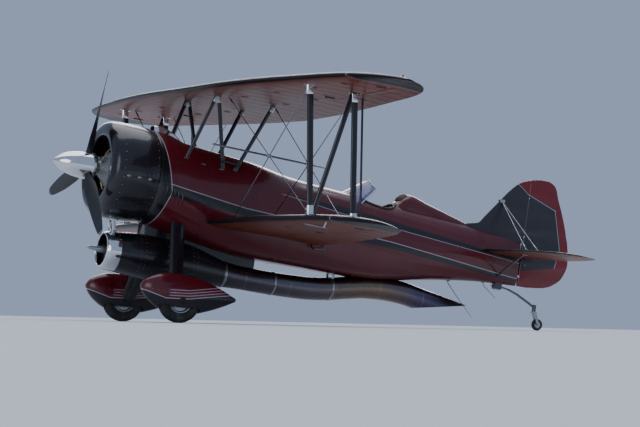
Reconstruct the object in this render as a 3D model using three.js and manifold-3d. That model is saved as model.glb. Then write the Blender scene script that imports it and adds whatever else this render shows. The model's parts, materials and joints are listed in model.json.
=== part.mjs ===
import * as THREE from 'three';
import { mergeVertices } from 'three/addons/utils/BufferGeometryUtils.js';
import Module from 'manifold-3d';

// A two-wing aerobatic aeroplane with a radial engine in the nose and a small turbojet slung
// under its belly, standing on its main wheels and tail wheel.
//
// Lengths are millimetres. Inside the airframe group x runs aft from the tip of the spinner,
// y to starboard and z up from the thrust line. Tables and helpers describe the starboard side,
// and the port side is its mirror image.

const wasm = await Module();
wasm.setup();

// Clearances
const SEAT = 0.3; // between pieces that touch
const SLACK = 0.6; // around a pin or shaft that turns
const RUNNING = 6; // around everything else that moves
const PORT = -1;
const STARBOARD = 1;
const SIDES = [['left', PORT], ['right', STARBOARD]];

// Finishes: colour, roughness, metalness
const FINISH = {
  redPaint: [0x5c0f18, 0.25, 0.3],
  darkPaint: [0x17161b, 0.3, 0.2],
  chrome: [0xd8dadd, 0.06, 1],
  steel: [0x6a6c70, 0.35, 1],
  iron: [0x2b2b2d, 0.6, 0.6],
  rubber: [0x121212, 0.85, 0],
  glass: [0x7a78c8, 0.08, 0],
  leather: [0x2a1a16, 0.6, 0],
};

// Solids and meshes

// A closed surface as a solid that faces out.
function toSolid(geometry) {
  const bare = geometry.clone();
  bare.deleteAttribute('normal');
  bare.deleteAttribute('uv');
  const merged = mergeVertices(bare, 0.001);
  const place = merged.attributes.position;
  const corner = (index) => new THREE.Vector3().fromBufferAttribute(place, index);
  const triangles = [];
  let volume = 0;
  for (let i = 0; i < merged.index.count; i += 3) {
    const [a, b, c] = merged.index.array.slice(i, i + 3);
    if (a === b || b === c || c === a) continue;
    triangles.push([a, b, c]);
    volume += corner(a).dot(corner(b).cross(corner(c)));
  }
  if (volume < 0) triangles.forEach((triangle) => triangle.reverse());
  return new wasm.Manifold(new wasm.Mesh({
    numProp: 3,
    vertProperties: new Float32Array(place.array),
    triVerts: new Uint32Array(triangles.flat()),
  }));
}

function toGeometry(solid) {
  const { vertProperties, triVerts } = solid.getMesh();
  const geometry = new THREE.BufferGeometry();
  geometry.setAttribute('position', new THREE.Float32BufferAttribute(vertProperties, 3));
  geometry.setIndex(new THREE.Uint32BufferAttribute(triVerts, 1));
  return geometry;
}

const join = (first, ...others) => others.reduce((sum, other) => sum.add(other), first);
const cut = (first, ...others) => others.reduce((rest, other) => rest.subtract(other), first);
const common = (first, ...others) => others.reduce((rest, other) => rest.intersect(other), first);

// A solid reflected in the plane of symmetry when the side is port.
function onSide(solid, side) {
  if (side === STARBOARD) return solid;
  return toSolid(toGeometry(solid).scale(1, -1, 1));
}

// Triangles that close a flat ring of points, turned the way the ring runs.
function capTriangles(ring) {
  const normal = new THREE.Vector3();
  ring.forEach(([x, y, z], i) => {
    const [u, v, w] = ring[(i + 1) % ring.length];
    normal.add(new THREE.Vector3((y - v) * (z + w), (z - w) * (x + u), (x - u) * (y + v)));
  });
  const size = normal.toArray().map(Math.abs);
  const drop = size.indexOf(Math.max(...size));
  const [across, up] = [(drop + 1) % 3, (drop + 2) % 3];
  const flat = ring.map((point) => new THREE.Vector2(point[across], point[up]));
  const wanted = Math.sign(normal.getComponent(drop));
  return THREE.ShapeUtils.triangulateShape(flat, []).map(([a, b, c]) => {
    const turn = flat[b].clone().sub(flat[a]).cross(flat[c].clone().sub(flat[a]));
    return Math.sign(turn) === wanted ? [a, b, c] : [a, c, b];
  });
}

// Rings of points, all of the same count, skinned into one closed solid.
function loft(rings) {
  const count = rings[0].length;
  const last = (rings.length - 1) * count;
  const triangles = [];
  for (let ring = 0; ring < rings.length - 1; ring += 1) {
    for (let i = 0; i < count; i += 1) {
      const next = (i + 1) % count;
      const [a, b] = [ring * count + i, ring * count + next];
      triangles.push([a, b, b + count], [a, b + count, a + count]);
    }
  }
  capTriangles(rings[0]).forEach(([a, b, c]) => triangles.push([a, c, b]));
  capTriangles(rings.at(-1)).forEach(([a, b, c]) => triangles.push([last + a, last + b, last + c]));
  const points = rings.flat().map((point) => new THREE.Vector3(...point));
  const geometry = new THREE.BufferGeometry().setFromPoints(points);
  geometry.setIndex(triangles.flat());
  return toSolid(geometry);
}

// A box from one corner to the other.
function block([x0, y0, z0], [x1, y1, z1]) {
  const geometry = new THREE.BoxGeometry(x1 - x0, y1 - y0, z1 - z0);
  return toSolid(geometry.translate((x0 + x1) / 2, (y0 + y1) / 2, (z0 + z1) / 2));
}

// A straight bar with an oval section: wide along the airflow and thin across it.
function bar(from, to, wide, thin = wide, sides = 12) {
  const [start, end] = [new THREE.Vector3(...from), new THREE.Vector3(...to)];
  const axis = end.clone().sub(start).normalize();
  const lead = Math.abs(axis.x) > 0.9 ? new THREE.Vector3(0, 0, 1) : new THREE.Vector3(1, 0, 0);
  const chord = lead.addScaledVector(axis, -axis.dot(lead)).normalize();
  const across = axis.clone().cross(chord);
  return loft([start, end].map((centre) => turns(sides).map((angle) => centre.clone()
    .addScaledVector(chord, (wide / 2) * Math.cos(angle))
    .addScaledVector(across, (thin / 2) * Math.sin(angle)).toArray())));
}

// A round tube along a path of points, mitred at each of them.
function tube(path, radius, sides) {
  const points = path.map((point) => new THREE.Vector3(...point));
  const directions = points.slice(1).map((point, i) => point.clone().sub(points[i]).normalize());
  let out = new THREE.Vector3(0, 0, 1).cross(directions[0]).normalize();
  return loft(points.map((point, i) => {
    const before = directions[Math.max(i - 1, 0)];
    const after = directions[Math.min(i, directions.length - 1)];
    const along = before.clone().add(after).normalize();
    out = out.addScaledVector(along, -along.dot(out)).normalize();
    const side = along.clone().cross(out);
    return turns(sides).map((angle) => point.clone().addScaledVector(out, radius * Math.cos(angle))
      .addScaledVector(side, radius * Math.sin(angle)).toArray());
  }));
}

function turns(count) {
  return Array.from({ length: count }, (_, i) => (i / count) * 2 * Math.PI);
}

// A profile of [along, radius] points turned about a line that runs along the named axis.
function turned(profile, axis, centre = [0, 0, 0], segments = 32) {
  const points = profile.map(([along, radius]) => new THREE.Vector2(radius, along));
  const geometry = new THREE.LatheGeometry(points, segments);
  if (axis === 'x') geometry.rotateZ(-Math.PI / 2);
  if (axis === 'z') geometry.rotateX(Math.PI / 2);
  return toSolid(geometry.translate(...centre));
}

const discProfile = (from, to, radius) => [[from, 0], [from, radius], [to, radius], [to, 0]];

// A flat outline of [x, y] points, upright between two heights.
const prism = (outline, low, high) => loft([low, high].map((z) => outline.map(([x, y]) => [x, y, z])));

// Round or oval rings strung along a path of {at, wide, tall}, upright across the x axis.
function sleeve(path, sides) {
  return loft(path.map(({ at: [x, y, z], wide, tall }) => turns(sides).map((angle) => [
    x, y + (wide / 2) * Math.cos(angle), z + (tall / 2) * Math.sin(angle)])));
}

// A number raised to a power with its sign kept, which squares off a circle's sine and cosine.
const signedPower = (value, power) => Math.sign(value) * Math.abs(value) ** power;

const airframe = new THREE.Group();

function meshOf(name, solid, finish, origin = [0, 0, 0]) {
  const [color, roughness, metalness] = FINISH[finish];
  const geometry = toGeometry(solid).translate(...origin.map((value) => -value));
  const mesh = new THREE.Mesh(geometry, new THREE.MeshStandardMaterial({ color, roughness, metalness }));
  mesh.name = name;
  return mesh;
}

function fixed(name, solid, finish) {
  airframe.add(meshOf(name, solid, finish));
}

// Pieces that turn together about a point, in a group of their own at that point.
function pivoted(pivotName, origin, pieces) {
  const group = new THREE.Group();
  group.name = pivotName;
  group.position.set(...origin);
  pieces.forEach(([name, solid, finish]) => group.add(meshOf(name, solid, finish, origin)));
  airframe.add(group);
  return group;
}

// Fuselage: each section has its own top, bottom and half width, and a squareness for the
// upper and the lower half, where 2 is an ellipse and more is boxier.
// Columns: x, top, bottom, half width, upper squareness, lower squareness
const FUSELAGE_SECTIONS = [
  [1150, 520, -520, 520, 2, 2],
  [1230, 575, -585, 578, 2, 2],
  [1420, 555, -630, 560, 2, 2.1],
  [1650, 490, -675, 525, 2.1, 2.2],
  [2100, 442, -748, 485, 2.2, 2.5],
  [2600, 395, -800, 462, 2.2, 2.8],
  [3140, 300, -812, 452, 2.3, 2.9],
  [3700, 252, -815, 440, 2.4, 2.9],
  [4250, 218, -806, 410, 2.4, 2.9],
  [4830, 176, -748, 345, 2.3, 2.8],
  [5400, 128, -662, 255, 2.2, 2.6],
  [6000, 70, -588, 150, 2.1, 2.4],
  [6540, 16, -560, 42, 2, 2.2],
];
const FUSELAGE_SIDES = 26;

// The fuselage body, grown outward by the given amount, or shrunk where that is negative.
function fuselageBody(grow = 0) {
  return loft(FUSELAGE_SECTIONS.map(([x, top, bottom, half, upper, lower], i) => {
    const middle = bottom + 0.45 * (top - bottom);
    const last = FUSELAGE_SECTIONS.length - 1;
    const along = i === 0 ? x - grow : x + (i === last ? grow : 0);
    return turns(FUSELAGE_SIDES).map((angle) => {
      const [c, s] = [Math.cos(angle), Math.sin(angle)];
      const power = 2 / (s > 0 ? upper : lower);
      const reach = (s > 0 ? top - middle : middle - bottom) + grow;
      return [along, (half + grow) * signedPower(c, power), middle + reach * signedPower(s, power)];
    });
  }));
}

const fuselageSeat = fuselageBody(SEAT);

// A starboard piece put on its side of the fuselage and trimmed to the skin there.
const besideFuselage = (solid, side) => cut(onSide(solid, side), fuselageSeat);

// Cockpit: one hole in the top skin, open down to the floor, with walls one skin thick.
const SKIN = 34;
const COCKPIT = {
  front: 4020, back: 4610, halfWidth: 265, squareness: 0.7, floor: -560, footwell: 3480, bulkhead: 4700,
};
const COCKPIT_SIDES = 28;
const FAR = 2000; // reach of a cutting shape that passes right out of the piece

function cockpitOpening() {
  const { front, back, halfWidth, squareness } = COCKPIT;
  const outline = turns(COCKPIT_SIDES).map((angle) => [
    front + ((back - front) / 2) * (1 + signedPower(Math.cos(angle), squareness)),
    halfWidth * signedPower(Math.sin(angle), squareness)]);
  return prism(outline, 0, FAR);
}

// The room inside the skin, shrunk by the given amount.
const cabinRoom = (shrink) => common(fuselageBody(-SKIN - shrink),
  block([COCKPIT.footwell + shrink, -FAR, COCKPIT.floor + shrink], [COCKPIT.bulkhead - shrink, FAR, FAR]));

// Tail bearings that the fuselage and fin carry
const RUDDER_HINGE = { x: 6585, radius: 24, lugs: [-430, 90, 600], pin: 6, lug: 15, lugHeight: 18 };
const ELEVATOR_HINGE = { x: 6500, z: -170, tube: 15 };

function rudderLugs() {
  const { x, lugs, pin, lug, lugHeight } = RUDDER_HINGE;
  return lugs.map((z) => cut(
    join(block([x - 90, -lug * 0.7, z - lugHeight / 2], [x, lug * 0.7, z + lugHeight / 2]),
      turned(discProfile(z - lugHeight / 2, z + lugHeight / 2, lug), 'z', [x, 0, 0], 16)),
    turned(discProfile(z - lugHeight, z + lugHeight, pin + SLACK / 2), 'z', [x, 0, 0], 12)));
}

const [lowLug, ...finLugs] = rudderLugs();
const elevatorBore = turned(discProfile(-200, 200, ELEVATOR_HINGE.tube + SLACK / 2), 'y',
  [ELEVATOR_HINGE.x, 0, ELEVATOR_HINGE.z], 16);
const fuselage = cut(join(fuselageBody(), lowLug), cabinRoom(0), cockpitOpening(), elevatorBore);
fixed('fuselage', fuselage, 'redPaint');

// Wings and tail surfaces: sections strung across the span, each with its own leading edge,
// trailing edge and thickness.
const SECTION_STEPS = 8; // points along each face of a section

// Heights of the upper and lower face at a fraction of the chord. The thickness is that of a
// round-nosed wing section. Camber bends its mid line, and incidence sets it nose up.
function sectionFaces(fraction, thickness, chord, { camber = 0, incidence = 0 }) {
  const half = 5 * thickness * (0.2969 * Math.sqrt(fraction) - 0.126 * fraction
    - 0.3516 * fraction ** 2 + 0.2843 * fraction ** 3 - 0.0995 * fraction ** 4);
  const middle = chord * (4 * camber * fraction * (1 - fraction) + incidence * (0.5 - fraction));
  return [middle + half, middle - half];
}

// Stations: span position, leading edge, trailing edge, thickness. The span runs along y, or up
// z for an upright surface.
function surface(spec, grow = 0) {
  const { stations, root, rise = 0, upright = false } = spec;
  const fractions = Array.from({ length: SECTION_STEPS + 1 },
    (_, i) => (1 - Math.cos((Math.PI * i) / SECTION_STEPS)) / 2);
  return loft(stations.map(([span, lead, trail, thickness], i) => {
    const end = i === 0 ? span - grow : span + (i === stations.length - 1 ? grow : 0);
    const height = root + rise * span;
    const point = (fraction, face) => {
      const faces = sectionFaces(fraction, thickness, trail - lead, spec);
      const x = lead - grow + (trail - lead + 2 * grow) * fraction;
      const off = height + faces[face] + (face === 0 ? grow : -grow);
      return upright ? [x, off, end] : [x, end, off];
    };
    const blunt = grow > 0 ? [point(0, 1)] : [];
    return [...fractions.map((fraction) => point(fraction, 0)),
      ...fractions.slice(1).reverse().map((fraction) => point(fraction, 1)), ...blunt];
  }));
}

const WING_RISE = Math.tan(THREE.MathUtils.degToRad(0.6));
const WING_INCIDENCE = Math.tan(THREE.MathUtils.degToRad(2.5));
const UPPER_WING = {
  root: 1090, rise: WING_RISE, camber: 0.035, incidence: WING_INCIDENCE,
  stations: [
    [SEAT / 2, 1480, 3260, 158],
    [1000, 1500, 3220, 155],
    [2000, 1570, 3130, 146],
    [3000, 1700, 3015, 126],
    [3600, 1790, 2945, 110],
    [4000, 1880, 2860, 90],
    [4300, 2010, 2740, 64],
    [4500, 2170, 2600, 38],
    [4600, 2360, 2470, 20],
  ],
  aileron: { from: 2050, to: 3900, hinge: 2690 },
};
const LOWER_WING = {
  root: -495, rise: WING_RISE, camber: 0.035, incidence: WING_INCIDENCE,
  stations: [
    [300, 1930, 3420, 148],
    [1000, 1945, 3390, 145],
    [2000, 1980, 3300, 136],
    [3000, 2060, 3170, 118],
    [3400, 2140, 3090, 102],
    [3700, 2250, 2990, 80],
    [3880, 2380, 2890, 56],
    [3970, 2520, 2780, 34],
    [4000, 2620, 2700, 20],
  ],
  aileron: { from: 1850, to: 3350, hinge: 2905 },
};
const AILERON_PIN = { radius: 8, reach: 26 };
// A link strut ties each upper aileron to the one below it, between pins the same arm behind
// their hinge lines. Its upper eye has play.
const LINK = {
  span: 2600, arm: 130, pin: 6, eye: 12, wide: 30, thin: 15, play: 2, notch: 54, floor: 18, sideGap: 9,
};

// Height of a surface's mid line and half its thickness at a span position and an x.
function thicknessAt(spec, span, x) {
  const { stations, root, rise = 0 } = spec;
  const index = Math.max(1, stations.findIndex(([position]) => position >= span));
  const [before, after] = [stations[index - 1], stations[index]];
  const share = (span - before[0]) / (after[0] - before[0]);
  const [, lead, trail, thickness] = before.map((value, i) => value + share * (after[i] - value));
  const [top, bottom] = sectionFaces((x - lead) / (trail - lead), thickness, trail - lead, spec);
  return { z: root + rise * span + (top + bottom) / 2, half: (top - bottom) / 2 };
}

// Span positions from one to another, with the surface's own stations between them.
const spansBetween = ({ stations }, from, to) => [from,
  ...stations.map(([span]) => span).filter((span) => span > from && span < to), to];

// The ailerons of both wings turn about parallel lines, which run forward and up towards the tip:
// x and z gained for each unit of span.
const HINGE_SWEEP = -0.055;
const hingeX = ({ aileron: { from, hinge } }, span) => hinge + HINGE_SWEEP * (span - from);
const aileronHingeAt = (wing, span) => thicknessAt(wing, span, hingeX(wing, span));

function midLineRise(wing) {
  const { from, to } = wing.aileron;
  return (aileronHingeAt(wing, to).z - aileronHingeAt(wing, from).z) / (to - from);
}

const HINGE_RISE = midLineRise(UPPER_WING);
const HINGE_DIRECTION = new THREE.Vector3(HINGE_SWEEP, 1, HINGE_RISE).normalize();

// The point of the hinge line at a span position.
function hingePoint(wing, span) {
  const { from } = wing.aileron;
  return [hingeX(wing, span), span, aileronHingeAt(wing, from).z + HINGE_RISE * (span - from)];
}

// A round bar about the hinge line, as thick as the wing unless a radius is given.
function hingeBar(wing, from, to, grow, radius = null) {
  return loft(spansBetween(wing, from, to).map((span) => turns(14).map((angle) => {
    const size = (radius ?? aileronHingeAt(wing, span).half) + grow;
    const [x, y, z] = hingePoint(wing, span);
    return [x + size * Math.cos(angle), y, z + size * Math.sin(angle)];
  })));
}

function linkPivot(wing) {
  const [x, y, z] = hingePoint(wing, LINK.span);
  return [x + LINK.arm, y, z];
}

// A round pin or bore along the hinge's direction through a link's pivot.
function linkPin(wing, radius, halfLength) {
  const [from, to] = [-halfLength, halfLength].map((reach) => new THREE.Vector3(...linkPivot(wing))
    .addScaledVector(HINGE_DIRECTION, reach).toArray());
  return bar(from, to, 2 * radius, 2 * radius, 12);
}

function aileronLink() {
  const { eye, wide, thin, pin, play } = LINK;
  const arms = [LOWER_WING, UPPER_WING];
  const rod = bar(...arms.map(linkPivot), wide, thin, 10);
  return cut(join(rod, ...arms.map((wing) => linkPin(wing, eye, thin / 2))),
    linkPin(LOWER_WING, pin + SEAT, 2 * thin), linkPin(UPPER_WING, pin + play, 2 * thin));
}

// All that lies behind the hinge line, between two planes square to it.
function behindHinge(wing, gap) {
  const { from, to } = wing.aileron;
  const rear = 4500;
  const ends = [from - gap, to + gap].map((span) => {
    const x = hingeX(wing, span);
    return [[x, span], [rear, span - HINGE_SWEEP * (rear - x)]];
  });
  return prism([ends[0][0], ends[0][1], ends[1][1], ends[1][0]], -FAR, FAR);
}

// A wing panel with its aileron cut out and the aileron itself, hung on a pin at each end.
function wingAndAileron(wing) {
  const whole = surface(wing);
  const { from, to } = wing.aileron;
  const { radius, reach } = AILERON_PIN;
  const panel = cut(whole, behindHinge(wing, RUNNING), hingeBar(wing, from - RUNNING, to + RUNNING, RUNNING),
    hingeBar(wing, from - reach - 1, to + reach + 1, SLACK / 2, radius));
  const [x, y, z] = linkPivot(wing);
  const { notch, floor, thin, sideGap } = LINK;
  const [low, high] = wing === UPPER_WING ? [z - FAR, z + floor] : [z - floor, z + FAR];
  const side = thin / 2 + sideGap;
  const linkNotch = block([x - notch, y - side, low], [x + notch, y + side, high]);
  const body = join(common(whole, behindHinge(wing, 0)), hingeBar(wing, from, to, 0));
  const aileron = join(cut(body, linkNotch), hingeBar(wing, from - reach, to + reach, 0, radius),
    linkPin(wing, LINK.pin, side + 1));
  return { panel, aileron };
}

const upper = wingAndAileron(UPPER_WING);
const lower = wingAndAileron(LOWER_WING);
const upperSeat = surface(UPPER_WING, SEAT);
const lowerSeat = surface(LOWER_WING, SEAT);
const WINGS = [['upper', UPPER_WING, upper], ['lower', LOWER_WING, lower]];
for (const [label, wing, { panel, aileron }] of WINGS) {
  for (const [sideName, side] of SIDES) {
    fixed(`${label}_wing_${sideName}`, besideFuselage(panel, side), 'redPaint');
    const [x, y, z] = hingePoint(wing, wing.aileron.from);
    pivoted(`pivot_aileron_${label}_${sideName}`, [x, side * y, z],
      [[`aileron_${label}_${sideName}`, onSide(aileron, side), 'redPaint']]);
  }
}

for (const [sideName, side] of SIDES) {
  const [x, y, z] = linkPivot(LOWER_WING);
  pivoted(`pivot_aileron_link_${sideName}`, [x, side * y, z],
    [[`aileron_link_${sideName}`, onSide(aileronLink(), side), 'darkPaint']]);
}

// Struts between the wings: an N of faired tubes on each side
const STRUT = {
  span: 2920, wide: 82, thin: 30, frontTop: 1950, rearTop: 2530, frontFoot: 2180, rearFoot: 2740,
};
const INTO_WING = 60; // how far each member runs into the wing before it is trimmed to the face

function strutBetween([xTop, yTop], [xFoot, yFoot], wide, thin) {
  const top = [xTop, yTop, UPPER_WING.root + INTO_WING];
  const foot = [xFoot, yFoot, LOWER_WING.root + INTO_WING];
  return bar(top, foot, wide, thin);
}

function interplaneStruts() {
  const { span, wide, thin, frontTop, rearTop, frontFoot, rearFoot } = STRUT;
  return cut(join(
    strutBetween([frontTop, span], [frontFoot, span], wide, thin),
    strutBetween([rearTop, span], [rearFoot, span], wide, thin),
    strutBetween([rearTop - 8, span], [frontFoot + 14, span], wide * 0.8, thin)), upperSeat, lowerSeat);
}

// Struts between the fuselage and the upper wing's centre
const CABANE = {
  halfTop: 480, halfFoot: 400, wide: 52, thin: 24,
  frontTop: 1830, rearTop: 2600, frontFoot: 1550, middleFoot: 2070, rearFoot: 2230, footHeight: 220,
};

function cabaneStruts() {
  const { halfTop, halfFoot, wide, thin, frontTop, rearTop, frontFoot, middleFoot, rearFoot } = CABANE;
  const member = (xTop, xFoot) => bar([xTop, halfTop, UPPER_WING.root + INTO_WING / 2],
    [xFoot, halfFoot, CABANE.footHeight], wide, thin, 8);
  const rail = bar([middleFoot - 60, halfFoot + 12, 318], [rearFoot + 60, halfFoot + 12, 296], 40, 40, 6);
  return cut(join(member(frontTop, frontFoot), member(frontTop + 10, middleFoot),
    member(rearTop, rearFoot), rail), upperSeat);
}

// Bracing wires: a pair that lifts from the wing root to the top of the struts and one that
// holds the wing from the centre to their foot, tied where they cross by a rod along the flow.
const WIRES = {
  wide: 14, thin: 8, rodSize: 22, rodFront: 1350, rodBack: 2870, crossSpan: 1700,
  rootSpan: 580, tipSpan: 2800,
};
// Columns: x and height of the crossing, then x and height of the lifting wire's top and of the
// other wire's top
const WIRE_PAIRS = [
  [2095, 338, 2020, 1150, 1900, 1130],
  [2620, 325, 2600, 1120, 2530, 1110],
];

function bracingWires() {
  const { wide, thin, rodSize, rodFront, rodBack, crossSpan, rootSpan, tipSpan } = WIRES;
  const [[x0, z0], [x1, z1]] = WIRE_PAIRS;
  const rodEnd = (x) => [x, crossSpan, z0 + ((x - x0) / (x1 - x0)) * (z1 - z0)];
  const wire = (top, cross, lastSpan) => {
    const stretch = (lastSpan - top[1]) / (cross[1] - top[1]);
    return bar(top, top.map((value, i) => value + stretch * (cross[i] - value)), wide, thin, 6);
  };
  const wires = WIRE_PAIRS.flatMap(([x, z, liftX, liftZ, landX, landZ]) => [
    wire([liftX, tipSpan, liftZ], [x, crossSpan, z], rootSpan),
    wire([landX, rootSpan, landZ], [x, crossSpan, z], tipSpan)]);
  const rod = bar(rodEnd(rodFront), rodEnd(rodBack), rodSize, rodSize, 8);
  return cut(join(rod, ...wires), upperSeat, lowerSeat);
}

for (const [sideName, side] of SIDES) {
  fixed(`interplane_struts_${sideName}`, onSide(interplaneStruts(), side), 'darkPaint');
  fixed(`cabane_struts_${sideName}`, besideFuselage(cabaneStruts(), side), 'darkPaint');
  fixed(`bracing_wires_${sideName}`, besideFuselage(bracingWires(), side), 'steel');
}

// Tail
const FIN_AND_RUDDER = {
  root: 0, upright: true,
  stations: [
    [-558, 6420, 6700, 44],
    [-530, 6420, 6940, 50],
    [-490, 6420, 7060, 52],
    [-357, 6420, 7220, 54],
    [-177, 6400, 7280, 56],
    [-20, 6200, 7262, 56],
    [0, 5560, 7256, 56],
    [130, 5700, 7225, 56],
    [176, 5890, 7206, 56],
    [263, 5965, 7180, 55],
    [490, 6150, 7092, 52],
    [672, 6302, 7010, 46],
    [770, 6410, 6975, 40],
    [815, 6500, 6945, 34],
    [850, 6610, 6890, 26],
    [864, 6700, 6850, 18],
  ],
};

function finAndRudder() {
  const whole = surface(FIN_AND_RUDDER);
  const { x, radius, lugs, pin, lugHeight, lug } = RUDDER_HINGE;
  const column = (grow, from, to) => turned(discProfile(from, to, radius + grow), 'z', [x, 0, 0], 16);
  const behind = block([x, -FAR, -FAR], [x + FAR, FAR, FAR]);
  const fin = cut(common(whole, block([0, -FAR, 2], [x, FAR, FAR])), column(RUNNING, -FAR, FAR),
    fuselageSeat);
  const slotHalf = lugHeight / 2 + RUNNING;
  const slots = lugs.map((z) => turned(discProfile(z - slotHalf, z + slotHalf, lug + RUNNING + 2),
    'z', [x, 0, 0], 12));
  const slotBoxes = lugs.map((z) => block([x - radius - 2, -FAR, z - slotHalf], [x, FAR, z + slotHalf]));
  const pins = lugs.map((z) => turned(discProfile(z - lugHeight, z + lugHeight, pin), 'z', [x, 0, 0], 12));
  const nose = common(column(0, -FAR, FAR), whole);
  return { fin: join(fin, ...finLugs), rudder: join(cut(join(common(whole, behind), nose),
    ...slots, ...slotBoxes), ...pins) };
}

const { fin, rudder } = finAndRudder();
fixed('fin', fin, 'darkPaint');
pivoted('pivot_rudder', [RUDDER_HINGE.x, 0, 0], [['rudder', rudder, 'redPaint']]);

const TAILPLANE = {
  root: ELEVATOR_HINGE.z,
  stations: [
    [30, 5940, 6960, 56],
    [700, 6040, 6990, 52],
    [1050, 6130, 6975, 46],
    [1300, 6240, 6930, 37],
    [1440, 6370, 6860, 26],
    [1500, 6490, 6760, 14],
  ],
};
const ELEVATOR_CUT = { from: [6530, 92], to: [7000, 410] }; // the inner edge, clear of the rudder
const ELEVATOR_TIP = 1452; // span where the elevator's round nose ends

function tailplaneAndElevator() {
  const whole = surface(TAILPLANE);
  const { x, z } = ELEVATOR_HINGE;
  const [[x0, y0], [x1, y1]] = [ELEVATOR_CUT.from, ELEVATOR_CUT.to];
  const column = (grow, from, to) => loft(spansBetween(TAILPLANE, from, to).map((span) => {
    const radius = thicknessAt(TAILPLANE, Math.min(span, ELEVATOR_TIP), x).half + grow;
    return turns(14).map((angle) => [x + radius * Math.cos(angle), span, z + radius * Math.sin(angle)]);
  }));
  const stabilizer = cut(common(whole, block([0, 0, -FAR], [x, FAR, FAR])), column(RUNNING, 40, FAR));
  const inboard = prism([[x - FAR, 0], [x + FAR, 0], [x + FAR, y1], [x1, y1], [x0, y0], [x - FAR, y0]],
    -FAR, FAR);
  const elevator = cut(join(common(whole, block([x, 0, -FAR], [x + FAR, FAR, FAR])),
    column(0, y0, ELEVATOR_TIP)), inboard);
  return { stabilizer, elevator, tubeReach: y0 + 40 };
}

const { stabilizer, elevator, tubeReach } = tailplaneAndElevator();
const torqueTube = turned(discProfile(-tubeReach, tubeReach, ELEVATOR_HINGE.tube), 'y',
  [ELEVATOR_HINGE.x, 0, ELEVATOR_HINGE.z], 16);
const torqueSeat = turned(discProfile(-tubeReach - SEAT, tubeReach + SEAT, ELEVATOR_HINGE.tube + SEAT), 'y',
  [ELEVATOR_HINGE.x, 0, ELEVATOR_HINGE.z], 16);
for (const [sideName, side] of SIDES) {
  fixed(`stabilizer_${sideName}`, besideFuselage(stabilizer, side), 'redPaint');
}
pivoted('pivot_elevators', [ELEVATOR_HINGE.x, 0, ELEVATOR_HINGE.z], [
  ...SIDES.map(([sideName, side]) => (
    [`elevator_${sideName}`, cut(onSide(elevator, side), torqueSeat), 'redPaint'])),
  ['elevator_torque_tube', torqueTube, 'steel'],
]);

// Tail braces: two wires from the fin down to each half of the tailplane, and a strut below it
const TAIL_BRACE = {
  finAt: [6190, 0, 505], frontAt: [6230, 800, TAILPLANE.root], rearAt: [6400, 830, TAILPLANE.root], wire: 12,
  strutAt: [6300, 620, TAILPLANE.root], lowAt: [6215, 60, -490], wide: 36, thin: 16,
};
const finSeat = surface(FIN_AND_RUDDER, SEAT);
const tailplaneSeat = surface(TAILPLANE, SEAT);

for (const [sideName, side] of SIDES) {
  const { finAt, frontAt, rearAt, wire, strutAt, lowAt, wide, thin } = TAIL_BRACE;
  const wires = [frontAt, rearAt].map((end) => bar(finAt, end, wire, wire * 0.6, 6));
  const portHalf = block([-FAR, -FAR, -FAR], [4 * FAR, 0, FAR]);
  const pair = cut(join(...wires), finSeat, tailplaneSeat, portHalf);
  fixed(`tail_wires_${sideName}`, onSide(pair, side), 'steel');
  const strut = bar(strutAt, lowAt, wide, thin, 10);
  fixed(`tail_strut_${sideName}`, besideFuselage(cut(strut, tailplaneSeat), side), 'darkPaint');
}

// Nose: cowling, engine, propeller
const NOSE_SIDES = 32;
const COWLING = { straightFrom: 835, straightTo: 1005, back: 1185, radius: 600, mouth: 400, wall: 14 };

// Columns: x and radius along the outside from the rear edge to the lip, then back along the inside
const COWLING_PROFILE = [
  [COWLING.back, COWLING.radius - 22],
  [COWLING.straightTo, COWLING.radius - 2],
  [815, COWLING.radius],
  [725, 591],
  [645, 585],
  [593, 529],
  [575, 467],
  [583, COWLING.mouth],
  [635, 412],
  [725, 540],
  [COWLING.straightFrom, COWLING.radius - COWLING.wall],
  [COWLING.straightTo, COWLING.radius - COWLING.wall - 2],
  [COWLING.back, COWLING.radius - COWLING.wall - 22],
];

const cowling = () => turned([...COWLING_PROFILE, COWLING_PROFILE[0]], 'x', [0, 0, 0], NOSE_SIDES);

fixed('cowling', cowling(), 'darkPaint');

const ENGINE = {
  cylinders: 9, centre: 900, barrel: 74, headRadius: 96, headStart: 400, crank: 235,
  noseFront: 560, rear: 1150 - SEAT, shaft: 42,
};

function radialEngine() {
  const { cylinders, centre, barrel, headRadius, headStart, crank, noseFront, rear } = ENGINE;
  const reach = COWLING.radius - COWLING.wall - 3;
  const crankcase = turned([[noseFront, 0], [noseFront, 78], [noseFront + 60, 110], [noseFront + 150, 195],
    [noseFront + 200, crank], [rear, crank], [rear, 0]], 'x', [0, 0, 0], 18);
  const pots = turns(cylinders).map((angle) => {
    const out = (radius) => [centre, radius * Math.sin(angle), radius * Math.cos(angle)];
    return join(bar(out(180), out(headStart + 10), barrel * 2, barrel * 2, 8),
      bar(out(headStart), out(540), headRadius * 2, headRadius * 1.7, 8),
      bar(out(530), out(reach), 70, 60, 6));
  });
  return join(crankcase, ...pots);
}

// The straight part of the cowling's wall and all outside it, which trims the cylinder heads
function cowlSeat() {
  const { straightFrom, straightTo, radius, wall } = COWLING;
  const profile = [[straightTo, radius - wall - 2 - SEAT], [straightFrom, radius - wall - SEAT],
    [straightFrom, FAR], [straightTo, FAR]];
  return turned([...profile, profile[0]], 'x', [0, 0, 0], NOSE_SIDES);
}

const PROPELLER = { x: 430, blades: 3, firstBlade: 74.5, spinnerBase: 168, back: 522, shank: 40 };
const SPINNER_WALL = 8;
// Columns: x, outer radius
const SPINNER_PROFILE = [
  [0, 0],
  [10, 18],
  [50, 56],
  [110, 98],
  [180, 128],
  [270, 150],
  [380, 162],
  [PROPELLER.back, PROPELLER.spinnerBase],
];
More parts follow.
